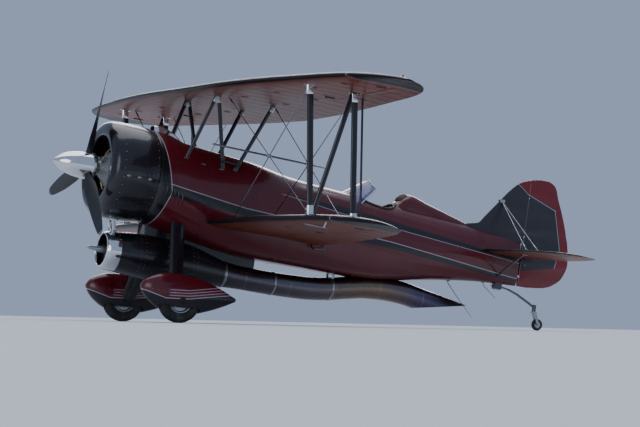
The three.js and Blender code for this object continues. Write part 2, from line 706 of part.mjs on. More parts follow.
// Columns: distance from the hub, chord, thickness, twist in degrees from the plane of the disc
const BLADE_SECTIONS = [
  [150, 92, 74, 62],
  [260, 128, 46, 52],
  [450, 172, 27, 38],
  [700, 176, 19, 28],
  [950, 150, 13, 22],
  [1120, 112, 9, 19],
  [1190, 70, 6, 18],
  [1210, 30, 5, 18],
];

function spinnerShell() {
  const inner = SPINNER_PROFILE.slice(2).reverse().map(([along, radius], i) => (
    [i === 0 ? along : along + SPINNER_WALL * 0.8, radius - SPINNER_WALL]));
  return turned([...SPINNER_PROFILE, ...inner, [80, 0]], 'x', [0, 0, 0], 24);
}

// One blade pointing along z from the hub, in front of the disc's plane at x = 0.
function blade() {
  const section = turns(14).map((angle) => [Math.cos(angle), Math.sin(angle)]);
  const rings = BLADE_SECTIONS.map(([distance, chord, thickness, twist]) => {
    const turn = THREE.MathUtils.degToRad(twist);
    const [sine, cosine] = [Math.sin(turn), Math.cos(turn)];
    return section.map(([c, s]) => {
      const [along, off] = [(chord / 2) * c, (thickness / 2) * s];
      return [along * sine + off * cosine, along * cosine - off * sine, distance];
    });
  });
  return join(loft(rings), turned(discProfile(70 + SEAT, 190, PROPELLER.shank), 'z', [0, 0, 0], 16));
}

function spun(solid, degrees) {
  const geometry = toGeometry(solid).rotateX(THREE.MathUtils.degToRad(degrees));
  return toSolid(geometry.translate(PROPELLER.x, 0, 0));
}

function propellerPieces() {
  const { x, blades, firstBlade, back } = PROPELLER;
  // Blade directions count from port towards up, so a blade that starts upright turns about x.
  const angles = turns(blades).map((_, i) => 90 - firstBlade - (i * 360) / blades);
  const hole = turned(discProfile(100, 320, PROPELLER.shank + 22), 'z', [0, 0, 0], 12);
  const slot = blade();
  const shell = cut(spinnerShell(), ...angles.map((angle) => spun(hole, angle)));
  const barrel = turned(discProfile(x - 62, x + 62, 70), 'x', [0, 0, 0], 24);
  const plate = turned(discProfile(back - 14, back - SEAT, PROPELLER.spinnerBase - 9), 'x', [0, 0, 0], 24);
  const shaft = turned(discProfile(x + 40, ENGINE.noseFront - SLACK, ENGINE.shaft), 'x', [0, 0, 0], 20);
  return [
    ['spinner', shell, 'chrome'],
    ['propeller_hub', join(barrel, plate, shaft), 'steel'],
    ...angles.map((angle, i) => [`propeller_blade_${i + 1}`, spun(slot, angle), 'darkPaint']),
  ];
}

fixed('radial_engine', cut(radialEngine(), cowlSeat()), 'iron');
pivoted('pivot_propeller', [PROPELLER.x, 0, 0], propellerPieces());

// Turbojet under the belly
const JET_SIDES = 22;
const JET = {
  mouthX: 780, lipBack: 960, axisZ: -980, mouthRadius: 198, lipRadius: 246,
  bulletTip: 580, bulletRadius: 52, faceX: 1250, engineBack: 2000, engineRadius: 190, wall: 16,
  padX: 1650, padZ: -997,
};
// Columns: x, centre height, outer radius
const NACELLE_SECTIONS = [
  [JET.lipBack + SEAT, JET.axisZ, 246],
  [1250, -984, 274],
  [1600, -994, 284],
  [1900, -1005, 268],
  [2150, -1019, 222],
  [2380, -1032, 168],
];
// Columns: x, centre height
const PIPE_PATH = [
  [2380 + SEAT, -1032],
  [2700, -1046],
  [3100, -1050],
  [3500, -1042],
  [3850, -1006],
  [4150, -948],
  [4430, -900],
  [4700, -886],
  [4900, -894],
  [5100, -922],
  [5500, -994],
  [5960, -1080],
];
const PIPE = { radius: 146, front: 168, wall: 9, kink: [5095, -1064], tip: [5860, -920] };

// The nacelle's rings, changed in radius and pushed out past both ends.
const nacelleRings = (change, past = 0) => sleeve(NACELLE_SECTIONS.map(([x, z, radius], i) => {
  const shift = i === 0 ? -past : past * (i === NACELLE_SECTIONS.length - 1);
  return { at: [x + shift, 0, z], wide: 2 * (radius + change), tall: 2 * (radius + change) };
}), JET_SIDES);

function nacelle() {
  return cut(nacelleRings(0), nacelleRings(-JET.wall, 1));
}

function pipeTube(change, from = 0) {
  return sleeve(PIPE_PATH.map(([x, z], i) => {
    const radius = (i === 0 ? PIPE.front : PIPE.radius) + change;
    const along = i === 0 ? x - from : x + (i === PIPE_PATH.length - 1 ? from : 0);
    return { at: [along, 0, z], wide: 2 * radius, tall: 2 * radius };
  }), 16);
}

function tailpipe() {
  const [[x0, z0], [x1, z1]] = [PIPE.kink, PIPE.tip];
  const slope = (z1 - z0) / (x1 - x0);
  const below = loft([-300, 300].map((y) => [[x0, y, z0], [x0 + 1500, y, z0 + 1500 * slope],
    [x0 + 1500, y, -1600], [x0, y, -1600]]));
  return cut(cut(pipeTube(0), pipeTube(-PIPE.wall, 10)), below, fuselageSeat);
}

function intakeRing() {
  const { mouthX, lipBack, axisZ, mouthRadius, lipRadius } = JET;
  const lip = [[lipBack, lipRadius], [mouthX + 120, lipRadius - 4], [mouthX + 55, lipRadius - 14],
    [mouthX + 18, lipRadius - 28], [mouthX, mouthRadius + 8], [mouthX + 8, mouthRadius - 2],
    [mouthX + 50, mouthRadius - 8], [mouthX + 120, mouthRadius + 4], [lipBack, lipRadius - 18]];
  return turned([...lip, lip[0]], 'x', [0, 0, axisZ], 28);
}

function intakeBullet() {
  const { bulletTip, bulletRadius, faceX, axisZ } = JET;
  return turned([[bulletTip, 0], [bulletTip + 12, 9], [bulletTip + 190, 40], [bulletTip + 330, bulletRadius],
    [faceX - SEAT, bulletRadius + 16], [faceX - SEAT, 0]], 'x', [0, 0, axisZ], 20);
}

// The engine itself is one closed block, held in the nacelle on four pads.
function jetBlock() {
  const { faceX, engineBack, engineRadius, padX, padZ } = JET;
  const size = { wide: 2 * engineRadius, tall: 2 * engineRadius };
  const body = sleeve([{ at: [faceX, 0, -984], ...size }, { at: [engineBack, 0, -1010], ...size }], 20);
  const pads = turns(4).map((angle) => {
    const out = (radius) => [padX, radius * Math.cos(angle), padZ + radius * Math.sin(angle)];
    return bar(out(engineRadius - 40), out(engineRadius + 110), 90, 50, 8);
  });
  return common(join(body, ...pads), nacelleRings(-JET.wall - SEAT));
}

// Fairing that carries the nacelle and the front of the pipe under the belly
// Columns: x, half width
const PYLON_SECTIONS = [[1230, 20], [1300, 62], [1600, 92], [2100, 84], [2500, 56], [2830, 14]];
const PYLON = { top: -400, bottom: -960 };

function jetPylon() {
  const { top, bottom } = PYLON;
  const body = loft(PYLON_SECTIONS.map(([x, half]) => [
    [x, -half, top], [x, half, top], [x, half, bottom], [x, -half, bottom]]));
  return cut(body, fuselageSeat, nacelleRings(SEAT, SEAT), pipeTube(SEAT, SEAT));
}

fixed('jet_nacelle', nacelle(), 'darkPaint');
fixed('jet_intake_ring', intakeRing(), 'chrome');
fixed('jet_intake_bullet', intakeBullet(), 'steel');
fixed('jet_engine', jetBlock(), 'iron');
fixed('jet_tailpipe', tailpipe(), 'steel');
fixed('jet_pylon', jetPylon(), 'darkPaint');

// Undercarriage
const MAIN_WHEEL = { x: 1520, y: 925, z: -1500, radius: 270, width: 150, rim: 152, axle: 25, hub: 46 };
const WHEEL_SIDES = 24;
const SPAT = { nose: 1000, tail: 2250, width: 250, wall: 9, gap: 16 };
// Columns: x, top, bottom, width as a share of the widest
const SPAT_SECTIONS = [
  [1000, -1372, -1412, 0.18],
  [1040, -1308, -1476, 0.5],
  [1130, -1244, -1558, 0.78],
  [1280, -1196, -1634, 0.96],
  [1480, -1180, -1664, 1],
  [1700, -1196, -1642, 0.93],
  [1900, -1240, -1580, 0.74],
  [2100, -1308, -1492, 0.44],
  [2250, -1372, -1412, 0.14],
];

function spatBody(change) {
  return sleeve(SPAT_SECTIONS.map(([x, top, bottom, share], i) => {
    const last = SPAT_SECTIONS.length - 1;
    const along = x + (i === 0 ? -change : 0) + (i === last ? change : 0);
    return { at: [along, MAIN_WHEEL.y, (top + bottom) / 2],
      wide: SPAT.width * share + 2 * change, tall: top - bottom + 2 * change };
  }), 18);
}

function wheelSpat() {
  const { x, y, z, radius, width, axle } = MAIN_WHEEL;
  const [near, far] = [y - width / 2 - SPAT.gap, y + width / 2 + SPAT.gap];
  const well = join(turned(discProfile(near, far, radius + SPAT.gap), 'y', [x, 0, z], 32),
    block([x - 170, near, z - 400], [x + 170, far, z]));
  const bore = turned(discProfile(near - 80, far + 80, axle + SEAT), 'y', [x, 0, z], 20);
  return cut(spatBody(0), well, bore);
}

const LEG = { topX: 1600, topY: 330, topZ: -500, footY: 826, footZ: -1420, wide: 190, thin: 58 };

function gearLeg() {
  const { x, y, z, width, axle } = MAIN_WHEEL;
  const { topX, topY, topZ, footY, footZ, wide, thin } = LEG;
  const axleBar = turned(discProfile(footY - 90, y + width / 2 + SPAT.gap + 14, axle), 'y', [x, 0, z], 20);
  const leg = bar([topX, topY, topZ], [x + 10, footY - 60, footZ - 60], wide, thin, 16);
  const brace = bar([topX - 20, 220, topZ - 80], [x, footY - 70, z - 4], 46, 34, 10);
  return cut(join(leg, brace, axleBar),
    cut(spatBody(SEAT), turned(discProfile(0, 2000, axle + 1), 'y', [x, 0, z], 20)));
}

function mainTyre() {
  const { radius, width, rim } = MAIN_WHEEL;
  const half = width / 2;
  const section = [[-half * 0.62, rim], [-half, rim + 50], [-half * 0.82, radius - 22],
    [-half * 0.36, radius], [half * 0.36, radius], [half * 0.82, radius - 22], [half, rim + 50],
    [half * 0.62, rim]];
  return turned([...section, section[0]], 'y', [0, 0, 0], WHEEL_SIDES);
}

function mainHub() {
  const { rim, axle, hub } = MAIN_WHEEL;
  const section = [[-62, axle + SLACK], [-62, hub], [-24, hub + 14], [-24, rim - 24], [-50, rim - SEAT],
    [50, rim - SEAT], [24, rim - 24], [24, hub + 14], [62, hub], [62, axle + SLACK]];
  return turned([...section, section[0]], 'y', [0, 0, 0], WHEEL_SIDES);
}

const TAIL_WHEEL = { x: 6940, z: -1012, radius: 76, width: 44, axle: 7, pivotX: 6868, pivotTop: -812 };

const dx = TAIL_WHEEL.x - MAIN_WHEEL.x;
const dz = TAIL_WHEEL.z - MAIN_WHEEL.z;
const PARKED_ANGLE = Math.asin((MAIN_WHEEL.radius - TAIL_WHEEL.radius) / Math.hypot(dx, dz))
  + Math.atan2(dz, dx);

// A wheel's facets are turned back by the parked angle, so that it stands on one of its corners.
function wheelGroup(pivotName, origin, pieces) {
  const group = pivoted(pivotName, origin, []);
  pieces.forEach(([name, solid, finish]) => {
    const mesh = meshOf(name, solid, finish);
    mesh.rotation.y = -PARKED_ANGLE;
    group.add(mesh);
  });
}

for (const [sideName, side] of SIDES) {
  fixed(`gear_leg_${sideName}`, besideFuselage(gearLeg(), side), 'darkPaint');
  fixed(`wheel_spat_${sideName}`, onSide(wheelSpat(), side), 'redPaint');
  wheelGroup(`pivot_wheel_${sideName}`, [MAIN_WHEEL.x, side * MAIN_WHEEL.y, MAIN_WHEEL.z],
    [[`main_tyre_${sideName}`, mainTyre(), 'rubber'], [`main_wheel_${sideName}`, mainHub(), 'steel']]);
}

// Tail wheel: a curved leaf spring, a swivelling fork and a small solid-tyred wheel
// Columns: x, centre height
const SPRING_PATH = [
  [6210, -604],
  [6330, -604],
  [6450, -622],
  [6580, -662],
  [6700, -716],
  [6800, -764],
  [6850, -790],
];
const SPRING = { width: 64, thick: 15 };

function tailSpring() {
  const { width, thick } = SPRING;
  const [across, up] = [width / 2, thick / 2];
  const leaf = loft(SPRING_PATH.map(([x, z]) => (
    [[x, -across, z - up], [x, across, z - up], [x, across, z + up], [x, -across, z + up]])));
  const clamp = block([6230, -44, -640], [6330, 44, -520]);
  const { pivotX, pivotTop } = TAIL_WHEEL;
  const socket = turned(discProfile(pivotTop - 40, pivotTop + 50, 26), 'z', [pivotX, 0, 0], 20);
  const bore = turned(discProfile(pivotTop - 60, pivotTop + 30, 12 + SLACK), 'z', [pivotX, 0, 0], 16);
  return cut(join(leaf, clamp, socket), bore, fuselageSeat);
}

function tailFork() {
  const { x, z, width, axle, pivotX, pivotTop } = TAIL_WHEEL;
  const plate = pivotTop - 40 - SLACK;
  const legY = width / 2 + RUNNING + 5;
  const stem = turned(discProfile(plate - 12, pivotTop + 25, 12), 'z', [pivotX, 0, 0], 16);
  const crown = block([pivotX - 28, -legY - 5, plate - 16], [pivotX + 34, legY + 5, plate]);
  const legs = [-1, 1].map((side) => side * legY).map((y) => (
    bar([pivotX + 8, y, plate - 8], [x, y, z - 4], 34, 9, 10)));
  const pin = turned(discProfile(-legY - 8, legY + 8, axle), 'y', [x, 0, z], 12);
  return join(stem, crown, ...legs, pin);
}

function tailWheel() {
  const { radius, width, axle } = TAIL_WHEEL;
  const half = width / 2;
  const section = [[-half, axle + SLACK], [-half, 22], [-half * 0.6, 30], [-half, radius - 24],
    [-half * 0.5, radius], [half * 0.5, radius], [half, radius - 24], [half * 0.6, 30], [half, 22],
    [half, axle + SLACK]];
  return turned([...section, section[0]], 'y', [0, 0, 0], 20);
}

fixed('tail_spring', tailSpring(), 'steel');
pivoted('pivot_tail_fork', [TAIL_WHEEL.pivotX, 0, TAIL_WHEEL.pivotTop],
  [['tail_fork', tailFork(), 'steel']]);
wheelGroup('pivot_tail_wheel', [TAIL_WHEEL.x, 0, TAIL_WHEEL.z], [['tail_wheel', tailWheel(), 'rubber']]);

// Headrest fairing behind the cockpit
// Columns: x, top, half width
const HEADREST_SECTIONS = [
  [4640, 226, 150],
  [4830, 360, 132],
  [5100, 292, 112],
  [5400, 212, 84],
  [5690, 134, 40],
];

const HEADREST = { squareness: 0.85, depth: 60, low: 60 };

function headrest() {
  const { squareness, depth, low } = HEADREST;
  const body = loft(HEADREST_SECTIONS.map(([x, top, half]) => turns(16).map((angle) => [
    x, half * signedPower(Math.cos(angle), squareness),
    top - (half + depth / 2) * (1 - signedPower(Math.sin(angle), squareness))])));
  return cut(common(body, block([0, -FAR, low], [4 * FAR, FAR, FAR])), fuselageSeat, finSeat);
}

fixed('headrest_fairing', headrest(), 'redPaint');

// Windshield: a raked, wrapped pane under a thin metal rail. Its foot and top are parts of two
// ovals of one shape, so every facet between them is flat.
const WINDSHIELD = {
  foot: { front: 3830, half: 282, z: 190 }, top: { front: 4235, half: 150, z: 452 }, depth: 1.525,
  arc: 1.25, steps: 10, endHeight: 0.55, pane: 5, rail: 7, railRise: 0.008, railTurn: 0.012,
};

// A point of the pane: an angle round the ovals, a share of the way up and a distance outward.
function panePoint(angle, share, out = 0) {
  const [low, high] = [WINDSHIELD.foot, WINDSHIELD.top].map(({ front, half, z }) => {
    const reach = half + out;
    return [front + WINDSHIELD.depth * (half - reach * Math.cos(angle)), reach * Math.sin(angle), z];
  });
  return low.map((value, i) => value + share * (high[i] - value));
}

// How far up the pane reaches at an angle: all the way in front, and less at its rear edges.
function paneHeight(angle) {
  const { arc, endHeight } = WINDSHIELD;
  return 1 - (1 - endHeight) * ((1 - Math.cos(angle)) / (1 - Math.cos(arc)));
}

const paneAngles = Array.from({ length: WINDSHIELD.steps + 1 },
  (_, i) => WINDSHIELD.arc * ((2 * i) / WINDSHIELD.steps - 1));

// The pane, grown by the given amount on all sides.
function windshieldPane(grow = 0) {
  const { pane, foot } = WINDSHIELD;
  const [turn, rise] = [grow / foot.half, grow / (foot.half * 1.5)];
  return loft(paneAngles.map((angle) => {
    const [outer, inner, top] = [pane + grow, -grow, paneHeight(angle) + rise];
    const end = angle + turn * (Math.abs(angle) === WINDSHIELD.arc) * Math.sign(angle);
    return [panePoint(end, -rise, outer), panePoint(end, top, outer), panePoint(end, top, inner),
      panePoint(end, -rise, inner)];
  }));
}

// The rail follows the pane's free edges and holds them in a groove.
function windshieldRail() {
  const { arc, pane, rail, railRise, railTurn } = WINDSHIELD;
  const ends = [-arc - railTurn, arc + railTurn];
  const edge = [ends[0], ...paneAngles, ends[1]].map((angle) => (
    panePoint(angle, paneHeight(angle) + railRise, pane / 2)));
  const feet = ends.map((angle) => panePoint(angle, 0, pane / 2));
  return tube([feet[0], ...edge, feet[1]], rail, 8);
}

fixed('windshield_frame', cut(windshieldRail(), windshieldPane(SEAT), fuselageSeat), 'steel');
fixed('windshield_glass', cut(windshieldPane(), fuselageSeat), 'glass');

// Cockpit fittings
const cabinSeat = cabinRoom(SEAT);
const PANEL = { x: 4000, thick: 12, bottom: -90 };
const SEAT_BUCKET = {
  front: 4230, back: 4580, half: 215, wall: 14, base: -330, lip: -190, top: 40, lean: 40, topFront: 4510,
  rail: { y: 120, half: 15, front: 4290, back: 4530 },
};
const STICK = { x: 4120, radius: 13, top: -110, grip: 19, gripLength: 110, boot: 50, bootTop: 60 };

const panel = block([PANEL.x, -FAR, PANEL.bottom], [PANEL.x + PANEL.thick, FAR, FAR]);
fixed('instrument_panel', common(cabinSeat, panel), 'darkPaint');

// A bucket with a low front edge, sides that rise to the back, and two rails to the floor.
function pilotSeat() {
  const { front, back, half, wall, base, lip, top, lean, topFront, rail } = SEAT_BUCKET;
  const bucket = ([x0, x1, x2], low, high, width, rear) => {
    const levels = [[low, x0, rear], [lip, x1, rear], [high, x2, rear + lean]];
    return loft(levels.map(([z, x, end]) => (
      [[x, -width, z], [end, -width, z], [end, width, z], [x, width, z]])));
  };
  const shell = bucket([front, front, topFront], base, top, half, back);
  const inner = front + wall;
  const room = bucket([inner, inner, inner], base + wall, top + wall, half - wall, back - wall);
  const rails = [-1, 1].map((side) => block([rail.front, side * rail.y - rail.half, COCKPIT.floor + SEAT],
    [rail.back, side * rail.y + rail.half, base + wall / 2]));
  return common(cut(join(shell, ...rails), room), cabinSeat);
}

function controlStick() {
  const { x, radius, top, grip, gripLength, boot, bootTop } = STICK;
  const floor = COCKPIT.floor + SEAT;
  return join(turned(discProfile(floor, top, radius), 'z', [x, 0, 0], 12),
    turned(discProfile(top - gripLength, top + 10, grip), 'z', [x, 0, 0], 14),
    turned(discProfile(floor, floor + bootTop, boot), 'z', [x, 0, 0], 16));
}

fixed('pilot_seat', pilotSeat(), 'leather');
fixed('control_stick', controlStick(), 'iron');

// Ram-air scoop on top of the nose, just behind the cowling
// Columns: x, width share, top
const SCOOP_SECTIONS = [[1225, 0.78, 640], [1300, 1, 650], [1500, 0.7, 585], [1600, 0.3, 520]];
const SCOOP = { low: 380, mouthLow: 560, wall: 12, edge: 20, halfLow: 110, halfEdge: 95, halfTop: 60 };

function airScoop() {
  const { low, mouthLow, wall, edge, halfLow, halfEdge, halfTop } = SCOOP;
  const ring = (x, share, bottom, top) => [[-halfLow, bottom], [halfLow, bottom], [halfEdge, top - edge],
    [halfTop, top], [-halfTop, top], [-halfEdge, top - edge]].map(([y, z]) => [x, y * share, z]);
  const body = loft(SCOOP_SECTIONS.map(([x, share, top]) => ring(x, share, low, top)));
  const [[front, share, top]] = SCOOP_SECTIONS;
  const mouth = loft([[front - wall, 0.9], [front + 100, 0.8]].map(([x, fit]) => (
    ring(x, share * fit, mouthLow, top - wall))));
  return cut(body, mouth, fuselageSeat);
}

fixed('air_scoop', airScoop(), 'chrome');

// Parked attitude: nose up on all three wheels, centred over the ground beneath it
const group = new THREE.Group();
airframe.rotation.y = PARKED_ANGLE;
group.add(airframe);
group.updateMatrixWorld(true);
const extent = new THREE.Box3().setFromObject(group, true);
airframe.position.set(-(extent.min.x + extent.max.x) / 2, 0, -extent.min.z);

export default group;
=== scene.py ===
# %% [markdown]
# A parked aerobatic biplane, with a radial engine in its nose and a small jet under its belly.
# The working shape comes from CAD and is loaded as a fixed frame. This lesson gives it skins that
# shade smoothly, paints and metals, and the small fittings that a real aeroplane carries.

# %% Load the frame
import json
from math import atan2, cos, degrees, hypot, pi, radians, sin

import bmesh
import bpy
import numpy as np
from mathutils import Matrix, Vector


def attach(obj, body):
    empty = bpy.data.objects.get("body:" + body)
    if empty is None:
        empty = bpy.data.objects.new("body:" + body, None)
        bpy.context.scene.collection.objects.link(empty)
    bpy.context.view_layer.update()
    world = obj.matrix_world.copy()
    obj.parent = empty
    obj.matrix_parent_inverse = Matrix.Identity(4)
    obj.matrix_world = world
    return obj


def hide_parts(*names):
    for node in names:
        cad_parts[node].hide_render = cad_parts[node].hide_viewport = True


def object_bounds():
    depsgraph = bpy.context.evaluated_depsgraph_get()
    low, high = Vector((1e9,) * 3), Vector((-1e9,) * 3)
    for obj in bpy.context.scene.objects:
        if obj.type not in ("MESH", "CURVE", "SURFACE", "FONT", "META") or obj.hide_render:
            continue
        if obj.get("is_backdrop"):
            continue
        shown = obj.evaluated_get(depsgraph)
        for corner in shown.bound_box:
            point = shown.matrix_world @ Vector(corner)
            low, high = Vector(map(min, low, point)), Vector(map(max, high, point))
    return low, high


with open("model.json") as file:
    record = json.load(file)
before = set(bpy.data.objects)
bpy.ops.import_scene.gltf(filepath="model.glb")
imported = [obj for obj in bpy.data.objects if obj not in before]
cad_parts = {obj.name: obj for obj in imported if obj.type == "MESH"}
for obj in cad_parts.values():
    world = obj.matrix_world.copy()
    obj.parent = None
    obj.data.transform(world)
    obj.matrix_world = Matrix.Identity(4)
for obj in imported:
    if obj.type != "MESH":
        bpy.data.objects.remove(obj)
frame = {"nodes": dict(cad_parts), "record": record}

cad_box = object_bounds()
print("CAD box", [[round(value, 3) for value in corner] for corner in cad_box])

# %% [markdown]
# The aeroplane stands nose up on its tail wheel, so nothing on it is level. Shapes are easier to
# think about along the thrust line: x aft from the tip of the spinner, y to starboard, z up. One
# matrix then puts everything in its parked place.

# %% Parked place
PITCH = 0.1254514852
PLACE = Matrix.Translation((-3.6012138, 0, 1.9483984)) @ Matrix.Rotation(PITCH, 4, "Y")
bodies = frame["record"]["behaviour"]["bodies"]
body_of = {node: body for body, nodes in bodies.items() for node in nodes}
print(len(body_of), "nodes on", len(bodies), "bodies, pitched", round(degrees(PITCH), 2), "degrees")

# %% [markdown]
# A shape here is corners and faces, before it becomes a Blender object. Shapes add up, so that a
# hundred screws can be one piece, and a starboard shape is reflected to make its port twin.

# %% Shapes


class Shape:
    """Corners and faces in the airframe's frame, in metres."""

    def __init__(self, corners, faces):
        self.corners = np.asarray(corners, float).reshape(-1, 3)
        self.faces = [tuple(face) for face in faces]

    def moved(self, matrix):
        turned = np.c_[self.corners, np.ones(len(self.corners))] @ np.array(matrix).T
        return Shape(turned[:, :3], self.faces)

    def shifted(self, x=0, y=0, z=0):
        return Shape(self.corners + [x, y, z], self.faces)

    def mirrored(self):
        return Shape(self.corners * [1, -1, 1], [face[::-1] for face in self.faces])


def together(shapes):
    """Several shapes as one."""
    shapes, faces, start = list(shapes), [], 0
    for shape in shapes:
        faces += [tuple(start + i for i in face) for face in shape.faces]
        start += len(shape.corners)
    return Shape(np.vstack([shape.corners for shape in shapes]), faces)


def both_sides(shapes):
    """Starboard shapes and their port twins, as one."""
    shape = together(shapes)
    return together([shape, shape.mirrored()])


def loft(rings, capped=True, looped=False):
    """Rings of the same count of points, skinned into one shape."""
    rings = np.asarray(rings, float)
    count, sides = rings.shape[:2]
    faces = []
    for ring in range(count if looped else count - 1):
        low, high = ring * sides, (ring + 1) % count * sides
        faces += [(low + i, low + (i + 1) % sides, high + (i + 1) % sides, high + i) for i in range(sides)]
    if capped and not looped:
        faces += [tuple(reversed(range(sides))), tuple(range((count - 1) * sides, count * sides))]
    return Shape(rings, faces)


def sheet(rows):
    """An open surface through rows of points."""
    rows = np.asarray(rows, float)
    count, across = rows.shape[:2]
    return Shape(rows, [(i * across + j, i * across + j + 1, (i + 1) * across + j + 1, (i + 1) * across + j)
                        for i in range(count - 1) for j in range(across - 1)])


def turns(count):
    """Angles evenly spaced round a circle."""
    return np.arange(count) * 2 * pi / count


# %% [markdown]
# Cowling, spinner, wheels and dials are all turned shapes: a profile swept round an axis, as on a
# lathe. Wires and pipes are a circle swept along a path instead.

# %% Lathe, tube, rod and block


def lathe(profile, axis="x", centre=(0, 0, 0), segments=64):
    """A profile of (along, radius) points turned about an axis."""
    looped = tuple(profile[0]) == tuple(profile[-1])
    points = profile[:-1] if looped else profile
    rings = []
    for along, radius in points:
        c, s = radius * np.cos(turns(segments)), radius * np.sin(turns(segments))
        flat = np.full(segments, float(along))
        rings.append(np.column_stack({"x": (flat, c, s), "y": (c, flat, s), "z": (c, s, flat)}[axis]))
    return loft(rings, capped=not looped, looped=looped).shifted(*centre)


def tube(path, radius, sides=10):
    """A round tube along a path of points. The radius may be a list, one for each point."""
    points = [Vector(point) for point in path]
    radii = radius if isinstance(radius, (list, tuple, np.ndarray)) else [radius] * len(points)
    out, rings = None, []
    for i, point in enumerate(points):
        along = (points[min(i + 1, len(points) - 1)] - points[max(i - 1, 0)]).normalized()
        out = along.orthogonal() if out is None else out - along * along.dot(out)
        out = out.normalized()
        side = along.cross(out)
        rings.append([point + (out * cos(a) + side * sin(a)) * radii[i] for a in turns(sides)])
    return loft(rings)


def facing(origin, direction):
    """The matrix that carries a shape from the z axis to a place and direction."""
    return Matrix.Translation(origin) @ Vector(direction).to_track_quat("Z", "Y").to_matrix().to_4x4()


def block(size, bevel=0.15):
    """A box about the origin, its upright edges cut back by a share of its smaller side."""
    x, y, z = (value / 2 for value in size)
    b = bevel * 2 * min(x, y)
    outline = [(x, y - b), (x - b, y), (b - x, y), (-x, y - b), (-x, b - y), (b - x, -y),
               (x - b, -y), (x, b - y)]
    levels = [(-z, 1 - bevel), (bevel * min(x, y) - z, 1), (z - bevel * min(x, y), 1), (z, 1 - bevel)]
    return loft([[(u * share, v * share, w) for u, v in outline] for w, share in levels])


def set_on(point, normal, profile, segments=28):
    """A turned shape that stands on a point and faces along a direction."""
    return lathe(profile, "z", segments=segments).moved(facing(point, normal))


def screw(point, normal, radius=0.005, height=0.0022):
    """A domed screw head on a skin."""
    profile = [(-height, radius), (height * 0.4, radius), (height, radius * 0.6), (height, 0)]
    return set_on(point, normal, profile, 8)


def even(half):
    """A closed profile from one half, mirrored to the other."""
    return [*half, *((-along, radius) for along, radius in half[::-1]), half[0]]


# %% [markdown]
# CAD sections lie far apart. Between them a real skin flows, so positions in between come from
# smooth curves through the same numbers, which never swing past them.

# %% Flowing curves


def flow(table, where):
    """The table's other columns at positions along its first one."""
    table, where = np.asarray(table, float), np.atleast_1d(np.asarray(where, float))
    x, rows = table[:, 0], table[:, 1:]
    slope = np.diff(rows, axis=0) / np.diff(x)[:, None]
    product, total = slope[1:] * slope[:-1], slope[1:] + slope[:-1]
    middle = np.where(product > 0, 2 * product / np.where(product > 0, total, 1), 0)
    tangent = np.vstack([slope[:1], middle, slope[-1:]])
    i = np.clip(np.searchsorted(x, where) - 1, 0, len(x) - 2)
    step = (x[i + 1] - x[i])[:, None]
    t = (where[:, None] - x[i][:, None]) / step
    return ((2 * t**3 - 3 * t**2 + 1) * rows[i] + (t**3 - 2 * t**2 + t) * step * tangent[i]
            + (3 * t**2 - 2 * t**3) * rows[i + 1] + (t**3 - t**2) * step * tangent[i + 1])


def smooth_path(points, count=24):
    """Points along a smooth curve through the given ones."""
    points = np.asarray(points, float)
    reach = np.r_[0, np.cumsum(np.linalg.norm(np.diff(points, axis=0), axis=1))]
    return flow(np.c_[reach, points], np.linspace(0, reach[-1], count))


# %% [markdown]
# Making a piece means welding its corners, turning its faces outward, shading it smoothly except
# at real edges, and saying which moving body it rides on and whose finish it takes.

# %% Pieces


def tidy_mesh(mesh, sharp):
    """Welds a mesh and shades it smoothly, apart from edges sharper than the given angle."""
    work = bmesh.new()
    work.from_mesh(mesh)
    bmesh.ops.remove_doubles(work, verts=work.verts, dist=0.00002)
    bmesh.ops.recalc_face_normals(work, faces=work.faces)
    for face in work.faces:
        face.smooth = True
    for edge in work.edges:
        edge.smooth = len(edge.link_faces) == 2 and edge.calc_face_angle() < radians(sharp)
    work.to_mesh(mesh)
    work.free()


def raw_object(name, shape, sharp=35):
    mesh = bpy.data.meshes.new(name)
    mesh.from_pydata(shape.corners.tolist(), [], shape.faces)
    tidy_mesh(mesh, sharp)
    made = bpy.data.objects.new(name, mesh)
    bpy.context.scene.collection.objects.link(made)
    return made


def dressed(made, paint, body, stands_for=()):
    """Gives a piece its finish, hangs it on the moving body it rides on and hides the CAD parts it stands
    for.
    """
    made.data.materials.append(paint.material)
    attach(made, body)
    if stands_for:
        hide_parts(*stands_for)
    return made


def piece(name, shape, paint, body="airframe", sharp=35, stands_for=()):
    """A shape, or a list of shapes, as a finished piece in its parked place."""
    made = raw_object(name, shape if isinstance(shape, Shape) else together(shape), sharp)
    made.data.transform(PLACE)
    return dressed(made, paint, body, stands_for)


def shape_of(mesh):
    """A mesh's corners and faces as a shape."""
    return Shape([corner.co[:] for corner in mesh.vertices], [face.vertices[:] for face in mesh.polygons])


def carved(shape, *cutters, operation="DIFFERENCE"):
    """The shape with others cut out of it."""
    whole = raw_object("whole", shape)
    helpers = [raw_object("cutter", cutter) for cutter in cutters]
    for helper in helpers:
        modifier = whole.modifiers.new("cut", "BOOLEAN")
        modifier.operation, modifier.solver, modifier.object = operation, "EXACT", helper
    result = shape_of(whole.evaluated_get(bpy.context.evaluated_depsgraph_get()).to_mesh())
    for made in [whole, *helpers]:
        bpy.data.objects.remove(made)
    return result


def repaint(made, paint, test):
    """Gives a second finish to the faces whose centre, in the airframe's frame, passes a test."""
    made.data.materials.append(paint.material)
    back = PLACE.inverted()
    for face in made.data.polygons:
        if test(*(back @ face.center)):
            face.material_index = 1


# %% [markdown]
# A finish is a material built from nodes. Shader arithmetic is easier to read as Python, so one
# small class wraps a socket and turns + - * / into Math nodes, and | into the larger of two masks.
# Its other methods are words a painter would use: a soft edge, a stripe, a line to follow.

# %% Values inside a finish


